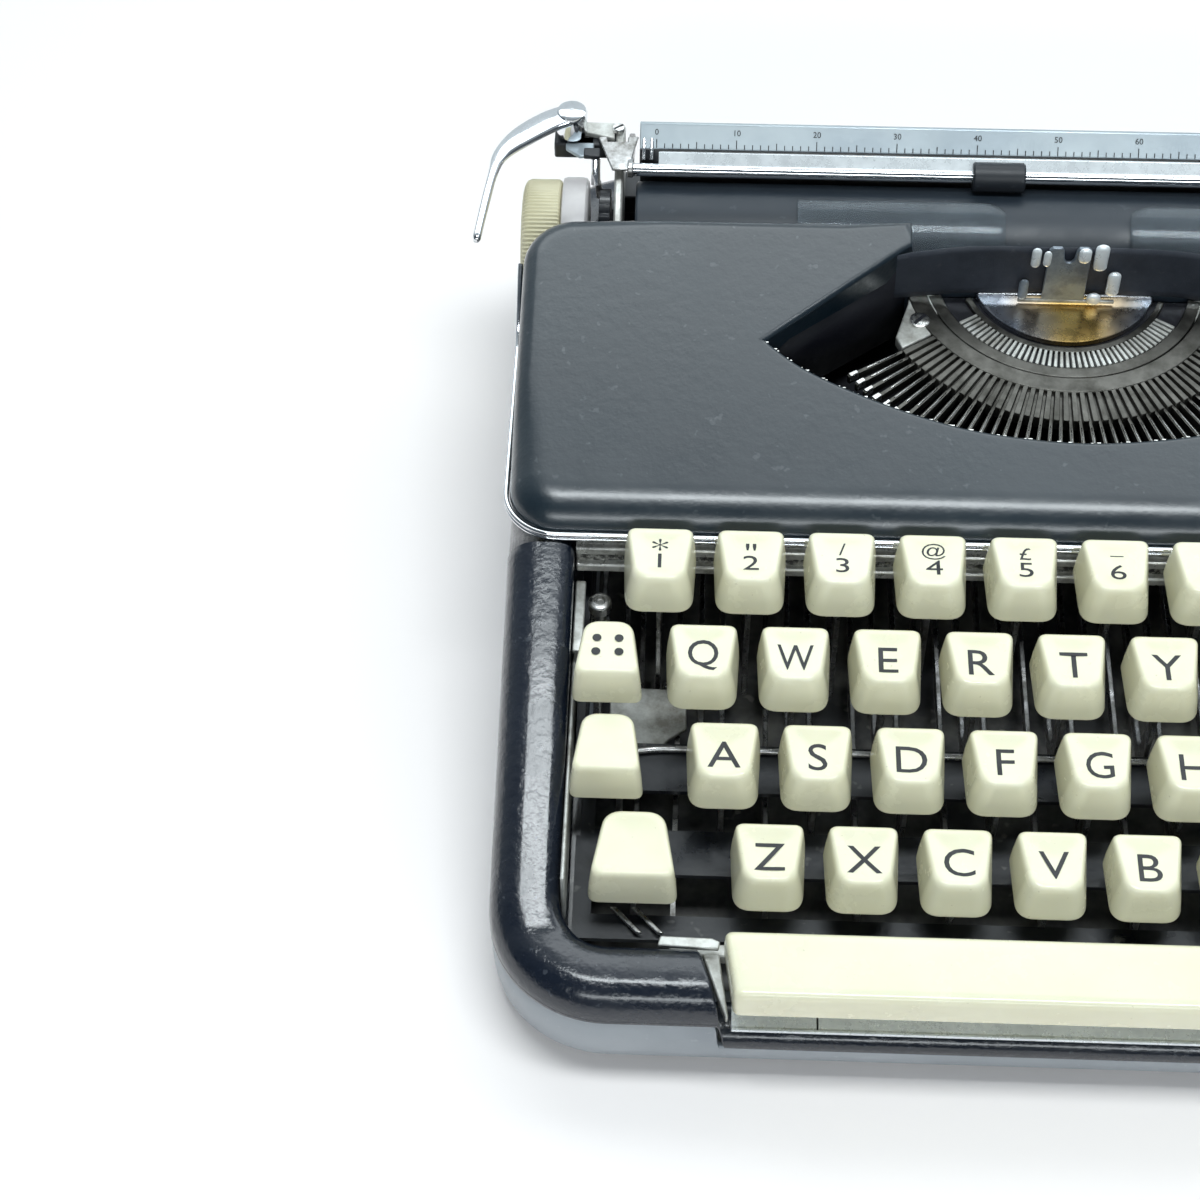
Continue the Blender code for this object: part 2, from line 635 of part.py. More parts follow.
# ------------------------------------------------------------------ carriage
def buildPlaten():
    steps = 28
    shaft = KNOB_OUT - 2.0
    profile = []
    for side in (-1, 1):
        half = [(shaft, SHAFT_RADIUS), (PLATEN_HALF, SHAFT_RADIUS), (PLATEN_HALF, PLATEN_RADIUS - 1.0),
                (PLATEN_HALF - 1.0, PLATEN_RADIUS)]
        if side < 0:
            profile += [(-x, r) for x, r in half]
        else:
            profile += reversed(half)
    mesh = turnedX(profile, PLATEN_Y, PLATEN_Z, steps)
    addObject("platen", mesh, "platenRubber", (0, PLATEN_Y, PLATEN_Z), True)

    bore = SHAFT_RADIUS + GAP
    for name, side in (("knob_left", -1), ("knob_right", 1)):
        profile = ((shaft + GAP, bore), (HUB_IN, bore), (HUB_IN, KNOB_RADIUS + 0.6),
                   (KNOB_IN - 0.6, KNOB_RADIUS + 0.6), (KNOB_IN, KNOB_RADIUS - 0.4),
                   (KNOB_IN + 0.3, KNOB_RADIUS), (KNOB_OUT - 1.0, KNOB_RADIUS), (KNOB_OUT, KNOB_RADIUS - 1.2))
        mesh = turnedX([(side * x, r) for x, r in profile], PLATEN_Y, PLATEN_Z, 28)
        addObject(name, mesh, "ivory", (side * HUB_IN, PLATEN_Y, PLATEN_Z), True)

    # toothed wheel for the line spacing, between the left end plate and the hub
    teeth = 24
    x0 = -PLATE_X - PLATE_SHEET - 0.8
    rings = []
    for x, bored in ((x0, True), (x0, False), (x0 - 2.6, False), (x0 - 2.6, True)):
        ring = []
        for i in range(teeth * 2):
            a = math.pi * i / teeth
            r = bore if bored else (13.4 if i % 2 else 11.6)
            ring.append((x, PLATEN_Y + r * math.cos(a), PLATEN_Z + r * math.sin(a)))
        rings.append(ring)
    addObject("line_ratchet", hoop(rings), "blackSteel", (x0, PLATEN_Y, PLATEN_Z))


def buildCarriageFrame():
    inner = PLATE_X
    outer = PLATE_X + PLATE_SHEET
    outline = [(54.5, 41.5), (89.0, 41.5), (89.0, 61.0), (82.0, 66.5), (72.0, 66.5), (64.0, 61.0),
               (54.5, 58.5)]
    plates = [prismX(outline, s * inner, s * outer) for s in (-1, 1)]
    hole = turnedX(((-outer - 2, SHAFT_RADIUS + GAP), (outer + 2, SHAFT_RADIUS + GAP)),
                   PLATEN_Y, PLATEN_Z, 16)
    # rear beam that rides over the rail, with a groove along its underside
    beam = block(-inner - 1, inner + 1, BEAM_FRONT, BEAM_FRONT + 9.0, 41.5, 47.0)
    groove = block(-inner - 9, inner + 9, 82.5 - 0.5, 85.5 + 0.5, 30, 42.4)
    # curved paper table behind the platen, ending in the margin scale
    near = PLATEN_RADIUS + 2.6
    far = near + 1.5
    table = arc(PLATEN_Y, PLATEN_Z, near, -12, 52, 8)
    table += [(74.8, 66.4), (74.0, 67.5), (77.9, 72.2), (79.2, 71.2)]
    table += arc(PLATEN_Y, PLATEN_Z, far, 52, -6, 8)
    table += [(BEAM_FRONT + 1.2, 46.0), (BEAM_FRONT + 1.2, 44.4)]
    sheet = prismX(table, -PLATEN_HALF + 0.6, PLATEN_HALF - 0.6)
    bracket = block(-137.5, -outer + 1, 76.5, 83.5, 61.5, 66.0)
    pinHole = turnedX(((-outer - 2, 1.5 + GAP), (outer + 2, 1.5 + GAP)), BAIL_PIVOT_Y, BAIL_PIVOT_Z, 12)
    mesh = combine(plates[0], [plates[1], beam, sheet, bracket])
    mesh = combine(mesh, [hole, groove, pinHole], "DIFFERENCE")
    addObject("carriage_frame", mesh, "steel")


def buildReturnLever():
    pivot = (-132.9, 80.2)
    top = 68.0
    boss = turnedZ(((66.0 + GAP, 3.6), (72.6, 3.6), (73.6, 2.6)), *pivot, 12)
    # each step is x, y, height, half the width across the blade, half the thickness
    path = ((-132.3, 80.6, top + 4, 3.4, 1.0), (-138.3, 77.3, top + 4, 3.4, 1.0),
            (-144.5, 71.7, top + 4, 3.0, 1.0), (-148.7, 65.9, top + 3.8, 1.8, 1.0),
            (-150.0, 60.2, top + 3.6, 1.0, 1.2), (-151.2, 51.0, top + 3.2, 0.9, 1.2),
            (-152.5, 39.2, top + 2.6, 0.8, 1.0))
    rings = []
    for i, (x, y, z, across, deep) in enumerate(path):
        before = path[max(i - 1, 0)]
        after = path[min(i + 1, len(path) - 1)]
        along = Vector((after[0] - before[0], after[1] - before[1])).normalized()
        dx = -along.y * across
        dy = along.x * across
        rings.append([(x - dx, y - dy, z - deep), (x + dx, y + dy, z - deep),
                      (x + dx, y + dy, z + deep), (x - dx, y - dy, z + deep)])
    mesh = combine(boss, [loft(rings)])
    addObject("return_lever", mesh, "chrome", (*pivot, top))


def buildPaperBail():
    a = math.radians(BAIL_ANGLE)
    reach = PLATEN_RADIUS + BAIL_ROLLER_RADIUS + GAP
    rodY = PLATEN_Y - reach * math.cos(a)
    rodZ = PLATEN_Z + reach * math.sin(a)
    armX = PLATEN_HALF + 0.7
    rod = turnedX(((-armX - 0.7, 1.6), (armX + 0.7, 1.6)), rodY, rodZ, 10)
    arms = []
    lift = math.degrees(math.atan2(rodZ - BAIL_PIVOT_Z, rodY - BAIL_PIVOT_Y))
    outline = arc(BAIL_PIVOT_Y, BAIL_PIVOT_Z, 2.8, lift - 270, lift - 90, 6)
    outline += arc(rodY, rodZ, 2.2, lift - 90, lift + 90, 6)
    for side in (-1, 1):
        arms.append(prismX(outline, side * armX, side * (armX + 1.4)))
        arms.append(turnedX(((side * (armX + 0.8), 1.5), (side * (PLATE_X + 1.0), 1.5)),
                            BAIL_PIVOT_Y, BAIL_PIVOT_Z, 12))
    mesh = combine(rod, arms)
    addObject("paper_bail", mesh, "chrome", (0, BAIL_PIVOT_Y, BAIL_PIVOT_Z))

    bore = 1.6 + GAP
    for name, side in (("bail_roller_left", -1), ("bail_roller_right", 1)):
        middle = side * 46.0 if side > 0 else -34.0
        rings = []
        for x, r in ((-6, bore), (-6, BAIL_ROLLER_RADIUS - 0.6), (-5.4, BAIL_ROLLER_RADIUS),
                     (5.4, BAIL_ROLLER_RADIUS), (6, BAIL_ROLLER_RADIUS - 0.6), (6, bore)):
            ring = []
            for i in range(14):
                t = 2 * math.pi * i / 14
                ring.append((middle + x, rodY + r * math.cos(t), rodZ + r * math.sin(t)))
            rings.append(ring)
        addObject(name, hoop(rings), "rubber", (middle, rodY, rodZ), True)
    return rodY, rodZ


def centreOnTable():
    """Put the middle of the whole machine over the origin."""
    bpy.context.view_layer.update()
    low = [1e9, 1e9]
    high = [-1e9, -1e9]
    for obj in bpy.context.scene.objects:
        for corner in obj.bound_box:
            world = obj.matrix_world @ Vector(corner)
            for axis in (0, 1):
                low[axis] = min(low[axis], world[axis])
                high[axis] = max(high[axis], world[axis])
    shift = Vector((-(low[0] + high[0]) / 2, -(low[1] + high[1]) / 2, 0))
    for obj in bpy.context.scene.objects:
        obj.location = obj.location + shift
    return shift


for old in list(bpy.data.objects):
    bpy.data.objects.remove(old)

MATERIALS = {
    "navyPaint": material("navyPaint", (0.012, 0.018, 0.04), 0.25, 0.0),
    "coverPaint": material("coverPaint", (0.035, 0.05, 0.075), 0.45, 0.0),
    "panPaint": material("panPaint", (0.33, 0.40, 0.47), 0.5, 0.0),
    "rubber": material("rubber", (0.02, 0.02, 0.02), 0.8, 0.0),
    "chrome": material("chrome", (0.8, 0.81, 0.83), 0.12, 1.0),
    "steel": material("steel", (0.45, 0.45, 0.46), 0.35, 1.0),
    "blackSteel": material("blackSteel", (0.02, 0.02, 0.025), 0.4, 0.4),
    "ivory": material("ivory", (0.84, 0.79, 0.62), 0.3, 0.0),
    "platenRubber": material("platenRubber", (0.04, 0.045, 0.05), 0.55, 0.0),
    "spoolMetal": material("spoolMetal", (0.3, 0.3, 0.31), 0.4, 1.0),
    "ribbonCloth": material("ribbonCloth", (0.01, 0.01, 0.015), 0.9, 0.0),
    "clear": material("clear", (0.75, 0.8, 0.85), 0.15, 0.0),
}

buildBasePan()
buildUpperCase()
buildRibbonCover()
buildCoverTrim()
buildKeys()
buildSideKeys()
buildSpaceBar()
buildChannelBar()
buildChassis()
buildTypeBasket()
buildRibbon()
buildPlaten()
buildCarriageFrame()
buildReturnLever()
bailLines = buildPaperBail()
moved = centreOnTable()
print("shift mm", [round(v * 1000, 3) for v in moved])
print("bail rod y z", [round(v, 3) for v in bailLines])
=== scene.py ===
# Looks of the flat portable typewriter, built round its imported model.
# Lengths are millimetres from the middle of the case; addPiece turns them into metres.
import math

import bmesh
import bpy
from mathutils import Matrix, Vector
from mathutils.bvhtree import BVHTree


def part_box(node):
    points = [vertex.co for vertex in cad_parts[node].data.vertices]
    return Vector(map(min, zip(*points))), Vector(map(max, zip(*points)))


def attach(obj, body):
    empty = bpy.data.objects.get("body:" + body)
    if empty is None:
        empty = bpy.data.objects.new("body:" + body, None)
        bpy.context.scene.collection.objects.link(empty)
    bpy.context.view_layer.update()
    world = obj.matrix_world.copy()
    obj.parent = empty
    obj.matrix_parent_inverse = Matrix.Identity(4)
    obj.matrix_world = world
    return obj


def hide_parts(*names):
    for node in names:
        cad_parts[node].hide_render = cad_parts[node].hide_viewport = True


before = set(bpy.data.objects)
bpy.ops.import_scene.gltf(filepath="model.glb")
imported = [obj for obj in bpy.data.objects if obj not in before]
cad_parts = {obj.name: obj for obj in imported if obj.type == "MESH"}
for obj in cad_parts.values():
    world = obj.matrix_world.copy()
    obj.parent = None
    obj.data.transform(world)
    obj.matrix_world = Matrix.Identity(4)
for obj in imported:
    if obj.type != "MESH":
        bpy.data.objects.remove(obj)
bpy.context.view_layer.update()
print("typewriter frame loaded")

caseLow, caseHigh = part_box("upper_case")
caseFront = -128.5
home = Vector(((caseLow.x + caseHigh.x) * 500, caseLow.y * 1000 - caseFront, 0))
caseHalf = (caseHigh.x - caseLow.x) * 500
caseBack = caseHigh.y * 1000 - home.y


def toWorld(p):
    return Vector((p[0] + home.x, p[1] + home.y, p[2])) / 1000


def nodeBox(node):
    low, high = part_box(node)
    return low * 1000 - home, high * 1000 - home


def skin(bm, rings, capStart=True, capEnd=True, loop=False):
    rows = [[bm.verts.new(p) for p in ring] for ring in rings]
    count = len(rings[0])
    pairs = list(zip(rows, rows[1:]))
    if loop:
        pairs.append((rows[-1], rows[0]))
    for low, high in pairs:
        for i in range(count):
            j = (i + 1) % count
            bm.faces.new((low[i], low[j], high[j], high[i]))
    if capStart and not loop:
        bm.faces.new(rows[0])
    if capEnd and not loop:
        bm.faces.new(rows[-1])
    return rows


def sheetGrid(bm, rows):
    grid = [[bm.verts.new(p) for p in row] for row in rows]
    for low, high in zip(grid, grid[1:]):
        for i in range(len(low) - 1):
            bm.faces.new((low[i], low[i + 1], high[i + 1], high[i]))
    return grid


def slab(bm, outline, axis, start, end):
    rings = []
    for level in (start, end):
        if axis == "X":
            rings.append([(level, a, b) for a, b in outline])
        elif axis == "Y":
            rings.append([(a, level, b) for a, b in outline])
        else:
            rings.append([(a, b, level) for a, b in outline])
    skin(bm, rings)


def brick(bm, x0, x1, y0, y1, z0, z1):
    slab(bm, [(x0, y0), (x1, y0), (x1, y1), (x0, y1)], "Z", z0, z1)


def turned(bm, profile, centre, axis, steps, ribs=0, ribDepth=0.0, hollow=False):
    rings = []
    for along, radius in profile:
        ring = []
        for i in range(steps):
            a = 2 * math.pi * i / steps
            r = radius
            if ribs:
                r -= ribDepth * (0.5 - 0.5 * math.cos(ribs * a))
            u = r * math.cos(a)
            v = r * math.sin(a)
            if axis == "X":
                ring.append((centre[0] + along, centre[1] + u, centre[2] + v))
            elif axis == "Y":
                ring.append((centre[0] + u, centre[1] + along, centre[2] + v))
            else:
                ring.append((centre[0] + u, centre[1] + v, centre[2] + along))
        rings.append(ring)
    skin(bm, rings, loop=hollow)


def smoothPath(points, per):
    result = []
    last = len(points) - 1
    for i in range(last):
        p0 = Vector(points[max(i - 1, 0)])
        p1 = Vector(points[i])
        p2 = Vector(points[i + 1])
        p3 = Vector(points[min(i + 2, last)])
        for k in range(per):
            t = k / per
            result.append(0.5 * ((2 * p1) + (p2 - p0) * t + (2 * p0 - 5 * p1 + 4 * p2 - p3) * t * t
                                 + (3 * p1 - p0 - 3 * p2 + p3) * t * t * t))
    result.append(Vector(points[-1]))
    return result


def tube(bm, points, radius, sides=12, squash=1.0):
    rings = []
    count = len(points)
    side = None
    for i, p in enumerate(points):
        along = (Vector(points[min(i + 1, count - 1)]) - Vector(points[max(i - 1, 0)])).normalized()
        if side is None:
            side = along.orthogonal().normalized()
        side = (side - along * side.dot(along)).normalized()
        other = along.cross(side)
        ring = []
        for k in range(sides):
            a = 2 * math.pi * k / sides
            ring.append(Vector(p) + side * math.cos(a) * radius + other * math.sin(a) * radius * squash)
        rings.append(ring)
    skin(bm, rings)


def ribbonPath(bm, points, section):
    rings = []
    count = len(points)
    for i, p in enumerate(points):
        d = Vector(points[min(i + 1, count - 1)]) - Vector(points[max(i - 1, 0)])
        out = Vector((d.y, -d.x, 0)).normalized()
        rings.append([Vector(p) + out * a + Vector((0, 0, b)) for a, b in section])
    skin(bm, rings)


def arc(cx, cy, radius, start, end, steps):
    points = []
    for i in range(steps + 1):
        a = math.radians(start + (end - start) * i / steps)
        points.append((cx + radius * math.cos(a), cy + radius * math.sin(a)))
    return points


def easeStep(value, start, end):
    t = min(max((value - start) / (end - start), 0.0), 1.0)
    return t * t * (3 - 2 * t)


def ramp(value, start, end, low, high):
    t = min(max((value - start) / (end - start), 0.0), 1.0)
    return low + (high - low) * t


def insetLoop(points, distances):
    count = len(points)
    result = []
    for i in range(count):
        before = Vector(points[i - 1][:2])
        here = Vector(points[i][:2])
        after = Vector(points[(i + 1) % count][:2])
        d0 = (here - before).normalized()
        d1 = (after - here).normalized()
        n0 = Vector((-d0.y, d0.x)) * distances[i]
        n1 = Vector((-d1.y, d1.x)) * distances[i]
        cross = d0.x * d1.y - d0.y * d1.x
        if abs(cross) < 0.02:
            moved = here + (n0 + n1) / 2
        else:
            t = ((n1 - n0).x * d1.y - (n1 - n0).y * d1.x) / cross
            moved = here + n0 + d0 * t
        result.append((moved.x, moved.y))
    return result


def addPiece(name, bm, finish, body, bevel=0.0, sharp=40, standsFor=(), weighted=False, segments=2):
    bmesh.ops.recalc_face_normals(bm, faces=bm.faces[:])
    for vertex in bm.verts:
        vertex.co = toWorld(vertex.co)
    mesh = bpy.data.meshes.new(name)
    bm.to_mesh(mesh)
    bm.free()
    mesh.shade_smooth()
    mesh.set_sharp_from_angle(angle=math.radians(sharp))
    mesh.materials.append(finishes[finish])
    piece = bpy.data.objects.new(name, mesh)
    bpy.context.scene.collection.objects.link(piece)
    if bevel:
        edge = piece.modifiers.new("softEdge", "BEVEL")
        edge.width = bevel / 1000
        edge.segments = segments
        edge.limit_method = "ANGLE"
        edge.angle_limit = math.radians(38)
        edge.harden_normals = False
    if weighted:
        normals = piece.modifiers.new("evenShade", "WEIGHTED_NORMAL")
        normals.keep_sharp = True
    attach(piece, body)
    if standsFor:
        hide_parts(*standsFor)
    return piece


finishes = {}


def startFinish(name):
    mat = bpy.data.materials.new(name)
    mat.use_nodes = True
    tree = mat.node_tree
    shader = tree.nodes["Principled BSDF"]
    finishes[name] = mat
    where = tree.nodes.new("ShaderNodeTexCoord").outputs["Object"]
    return tree, shader, where


def noise(tree, where, scale, detail=3.0, rough=0.55, stretch=None):
    if stretch:
        mapping = tree.nodes.new("ShaderNodeMapping")
        mapping.inputs["Scale"].default_value = stretch
        tree.links.new(where, mapping.inputs["Vector"])
        where = mapping.outputs["Vector"]
    node = tree.nodes.new("ShaderNodeTexNoise")
    node.inputs["Scale"].default_value = scale
    node.inputs["Detail"].default_value = detail
    node.inputs["Roughness"].default_value = rough
    tree.links.new(where, node.inputs["Vector"])
    return node.outputs["Fac"]


def spread(tree, value, low, high, fromLow=0.35, fromHigh=0.65):
    node = tree.nodes.new("ShaderNodeMapRange")
    node.inputs["From Min"].default_value = fromLow
    node.inputs["From Max"].default_value = fromHigh
    node.inputs["To Min"].default_value = low
    node.inputs["To Max"].default_value = high
    tree.links.new(value, node.inputs["Value"])
    return node.outputs["Result"]


def blendColour(tree, factor, first, second):
    node = tree.nodes.new("ShaderNodeMix")
    node.data_type = "RGBA"
    tree.links.new(factor, node.inputs["Factor"])
    for socket, value in ((node.inputs["A"], first), (node.inputs["B"], second)):
        if isinstance(value, tuple):
            socket.default_value = (*value, 1.0)
        else:
            tree.links.new(value, socket)
    return node.outputs["Result"]


def bumps(tree, shader, layers):
    normal = None
    for height, strength, distance in layers:
        node = tree.nodes.new("ShaderNodeBump")
        node.inputs["Strength"].default_value = strength
        node.inputs["Distance"].default_value = distance / 1000
        tree.links.new(height, node.inputs["Height"])
        if normal is not None:
            tree.links.new(normal, node.inputs["Normal"])
        normal = node.outputs["Normal"]
    tree.links.new(normal, shader.inputs["Normal"])


def paint(name, look):
    tree, shader, where = startFinish(name)
    patches = noise(tree, where, look.get("patchScale", 22), 4, 0.6)
    colour = blendColour(tree, spread(tree, patches, 0, 1, 0.4, 0.62), look["colour"], look["second"])
    specks = noise(tree, where, look.get("speckScale", 420), 2, 0.5)
    dustMask = spread(tree, specks, 0, look.get("dust", 0.3), 0.68, 0.74)
    colour = blendColour(tree, dustMask, colour, look["dustColour"])
    tree.links.new(colour, shader.inputs["Base Color"])
    rough = noise(tree, where, look.get("roughScale", 60), 5, 0.65)
    tree.links.new(spread(tree, rough, look["rough"][0], look["rough"][1]), shader.inputs["Roughness"])
    shader.inputs["Metallic"].default_value = look.get("metal", 0.0)
    shader.inputs["Coat Weight"].default_value = look.get("coat", 0.0)
    shader.inputs["Coat Roughness"].default_value = look.get("coatRough", 0.1)
    shader.inputs["Specular IOR Level"].default_value = look.get("specular", 0.5)
    grain = noise(tree, where, look["grain"], 2, 0.5)
    waves = noise(tree, where, look.get("waves", 150), 2, 0.5)
    bumps(tree, shader, ((waves, look.get("waveStrength", 0.1), 0.4), (grain, look["grainStrength"], 0.12)))
    return tree, shader, where


def metal(name, look):
    tree, shader, where = startFinish(name)
    stains = noise(tree, where, look.get("stainScale", 45), 5, 0.7)
    colour = blendColour(tree, spread(tree, stains, 0, 1, *look.get("stainRange", (0.42, 0.66))),
                         look["colour"], look["stain"])
    tree.links.new(colour, shader.inputs["Base Color"])
    shader.inputs["Metallic"].default_value = look.get("metal", 1.0)
    wear = noise(tree, where, look.get("wearScale", 260), 6, 0.7)
    tree.links.new(spread(tree, wear, look["rough"][0], look["rough"][1]), shader.inputs["Roughness"])
    lines = noise(tree, where, look.get("lineScale", 300), 3, 0.5, look.get("stretch", (0.06, 1, 1)))
    pits = noise(tree, where, look.get("pits", 700), 3, 0.6)
    bumps(tree, shader,
          ((lines, look.get("lineStrength", 0.12), 0.05), (pits, look.get("pitStrength", 0.1), 0.05)))
    return tree, shader, where


def makeFinishes():
    paint("navyEnamel", {
        "colour": (0.004, 0.0075, 0.016), "second": (0.006, 0.0105, 0.021), "dustColour": (0.2, 0.22, 0.25),
        "dust": 0.16, "speckScale": 520, "rough": (0.2, 0.34), "coat": 0.5, "coatRough": 0.12,
        "grain": 1500, "grainStrength": 0.5, "waves": 420, "waveStrength": 0.6})
    paint("coverEnamel", {
        "colour": (0.005, 0.013, 0.021), "second": (0.008, 0.019, 0.028), "dustColour": (0.3, 0.32, 0.34),
        "dust": 0.1, "speckScale": 360, "patchScale": 12, "rough": (0.28, 0.38), "coat": 0.9,
        "coatRough": 0.24, "grain": 1300, "grainStrength": 0.35, "waves": 380, "waveStrength": 0.3})
    paint("panEnamel", {
        "colour": (0.27, 0.3, 0.33), "second": (0.34, 0.37, 0.4), "dustColour": (0.6, 0.62, 0.64),
        "dust": 0.2, "rough": (0.28, 0.4), "coat": 0.2, "grain": 1400, "grainStrength": 0.25})
    paint("blackJapan", {
        "colour": (0.006, 0.008, 0.012), "second": (0.018, 0.02, 0.024), "dustColour": (0.16, 0.16, 0.15),
        "dust": 0.5, "speckScale": 260, "patchScale": 60, "rough": (0.25, 0.6), "coat": 0.2,
        "grain": 900, "grainStrength": 0.3})
    # grey-black with dust specks: painted shade, lightened a little for the light that reaches it, and dust
    # for the floor under the levers
    paint("dustyShade", {
        "colour": (0.03, 0.031, 0.034), "second": (0.12, 0.118, 0.108), "dustColour": (0.3, 0.29, 0.26),
        "dust": 0.6, "speckScale": 200, "patchScale": 75, "rough": (0.45, 0.85),
        "grain": 600, "grainStrength": 0.5})
    # near-black laid where there is only shade: painted shade in screw slots, the segment groove and under
    # the basket and cover; also the dark joints of the lip strip
    paint("shadeAndJointBlack", {
        "colour": (0.003, 0.0035, 0.007), "second": (0.006, 0.0065, 0.011),
        "dustColour": (0.05, 0.05, 0.06), "dust": 0.2, "rough": (0.4, 0.7), "grain": 700,
        "grainStrength": 0.2})
    paint("rubberFoot", {
        "colour": (0.015, 0.015, 0.016), "second": (0.025, 0.025, 0.025), "dustColour": (0.12, 0.12, 0.11),
        "dust": 0.4, "rough": (0.6, 0.85), "grain": 800, "grainStrength": 0.4})
    paint("bailRubber", {
        "colour": (0.012, 0.015, 0.02), "second": (0.02, 0.024, 0.03), "dustColour": (0.09, 0.1, 0.11),
        "dust": 0.25, "rough": (0.42, 0.6), "grain": 1200, "grainStrength": 0.2})
    paint("platenRubber", {
        "colour": (0.016, 0.024, 0.034), "second": (0.02, 0.029, 0.04), "dustColour": (0.12, 0.14, 0.16),
        "dust": 0.12, "patchScale": 30, "rough": (0.36, 0.5), "grain": 1000, "grainStrength": 0.12})
    paint("ribbonInk", {
        "colour": (0.018, 0.023, 0.034), "second": (0.03, 0.036, 0.05), "dustColour": (0.07, 0.07, 0.08),
        "dust": 0.3, "patchScale": 90, "rough": (0.5, 0.8), "grain": 3500, "grainStrength": 0.6,
        "waves": 90, "waveStrength": 0.5})
    paint("legendInk", {
        "colour": (0.006, 0.007, 0.01), "second": (0.016, 0.017, 0.02), "dustColour": (0.1, 0.1, 0.09),
        "dust": 0.1, "patchScale": 300, "rough": (0.35, 0.5), "grain": 2500, "grainStrength": 0.1})
    paint("scaleGrey", {
        "colour": (0.4, 0.46, 0.5), "second": (0.47, 0.53, 0.56), "dustColour": (0.7, 0.72, 0.74),
        "dust": 0.12, "patchScale": 40, "rough": (0.28, 0.42), "metal": 0.55, "grain": 1200,
        "grainStrength": 0.1})
    paint("hubGrey", {
        "colour": (0.52, 0.5, 0.5), "second": (0.6, 0.58, 0.57), "dustColour": (0.35, 0.34, 0.33),
        "dust": 0.15, "patchScale": 80, "rough": (0.3, 0.45), "grain": 1300, "grainStrength": 0.12})
    metal("chrome", {
        "colour": (0.86, 0.87, 0.89), "stain": (0.74, 0.75, 0.77), "rough": (0.05, 0.16),
        "lineStrength": 0.03, "pitStrength": 0.03})
    metal("leverSteel", {
        "colour": (0.62, 0.62, 0.62), "stain": (0.2, 0.19, 0.17), "rough": (0.18, 0.5), "stainScale": 130,
        "stretch": (1, 0.1, 1), "pitStrength": 0.25, "pits": 500})
    metal("wornSteel", {
        "colour": (0.64, 0.65, 0.62), "stain": (0.26, 0.25, 0.22), "rough": (0.3, 0.62), "stainScale": 90,
        "pitStrength": 0.4, "pits": 420, "metal": 0.55})
    metal("guideSteel", {
        "colour": (0.3, 0.35, 0.4), "stain": (0.16, 0.18, 0.21), "rough": (0.25, 0.5), "stainScale": 160,
        "pitStrength": 0.3, "metal": 0.6})
    # whitened, sky-tinted steel: its brightness is painted sheen and reflection laid into the colour
    # instead of a mirror finish
    metal("steelPaintedSheen", {
        "colour": (0.88, 0.93, 0.95), "stain": (0.72, 0.76, 0.78), "rough": (0.2, 0.38), "metal": 0.3,
        "lineStrength": 0.1, "pitStrength": 0.08})
    metal("channelSteel", {
        "colour": (0.72, 0.72, 0.69), "stain": (0.3, 0.29, 0.26), "rough": (0.22, 0.48), "stainScale": 170,
        "stretch": (0.05, 1, 1), "pitStrength": 0.3, "metal": 0.6})
    metal("channelDark", {
        "colour": (0.06, 0.06, 0.058), "stain": (0.5, 0.5, 0.47), "stainRange": (0.44, 0.64),
        "rough": (0.25, 0.6), "stainScale": 900, "pitStrength": 0.6, "pits": 900, "metal": 0.5})
    metal("segmentSteel", {
        "colour": (0.14, 0.136, 0.124), "stain": (0.07, 0.068, 0.06), "rough": (0.32, 0.56),
        "stainScale": 140, "stretch": (1, 1, 1), "pitStrength": 0.35, "pits": 600})
    metal("brightTip", {
        "colour": (0.85, 0.85, 0.83), "stain": (0.4, 0.39, 0.36), "rough": (0.12, 0.45), "stainScale": 420,
        "pitStrength": 0.5, "pits": 800})
    metal("spoolMetal", {
        "colour": (0.34, 0.34, 0.35), "stain": (0.22, 0.22, 0.22), "rough": (0.28, 0.48)})

    tree, shader, where = startFinish("ivoryKey")
    clouds = noise(tree, where, 35, 4, 0.6)
    colour = blendColour(tree, spread(tree, clouds, 0, 1), (0.84, 0.815, 0.615), (0.8, 0.77, 0.56))
    specks = noise(tree, where, 900, 2, 0.5)
    colour = blendColour(tree, spread(tree, specks, 0, 0.35, 0.72, 0.78), colour, (0.4, 0.34, 0.2))
    tree.links.new(colour, shader.inputs["Base Color"])
    tree.links.new(spread(tree, noise(tree, where, 120, 4, 0.6), 0.16, 0.3), shader.inputs["Roughness"])
    shader.inputs["Coat Weight"].default_value = 0.35
    shader.inputs["Coat Roughness"].default_value = 0.08
    shader.inputs["Subsurface Weight"].default_value = 0.12
    shader.inputs["Subsurface Radius"].default_value = (0.0012, 0.001, 0.0006)
    bumps(tree, shader,
          ((noise(tree, where, 90, 2, 0.5), 0.06, 0.4), (noise(tree, where, 1500, 2, 0.5), 0.03, 0.05)))

    tree, shader, where = startFinish("knobCream")
    fine = noise(tree, where, 60, 4, 0.6)
    colour = blendColour(tree, spread(tree, fine, 0, 1), (0.66, 0.62, 0.44), (0.58, 0.54, 0.36))
    tree.links.new(colour, shader.inputs["Base Color"])
    tree.links.new(spread(tree, noise(tree, where, 150, 4, 0.6), 0.3, 0.45), shader.inputs["Roughness"])
    bumps(tree, shader, ((noise(tree, where, 700, 2, 0.5), 0.1, 0.05),))

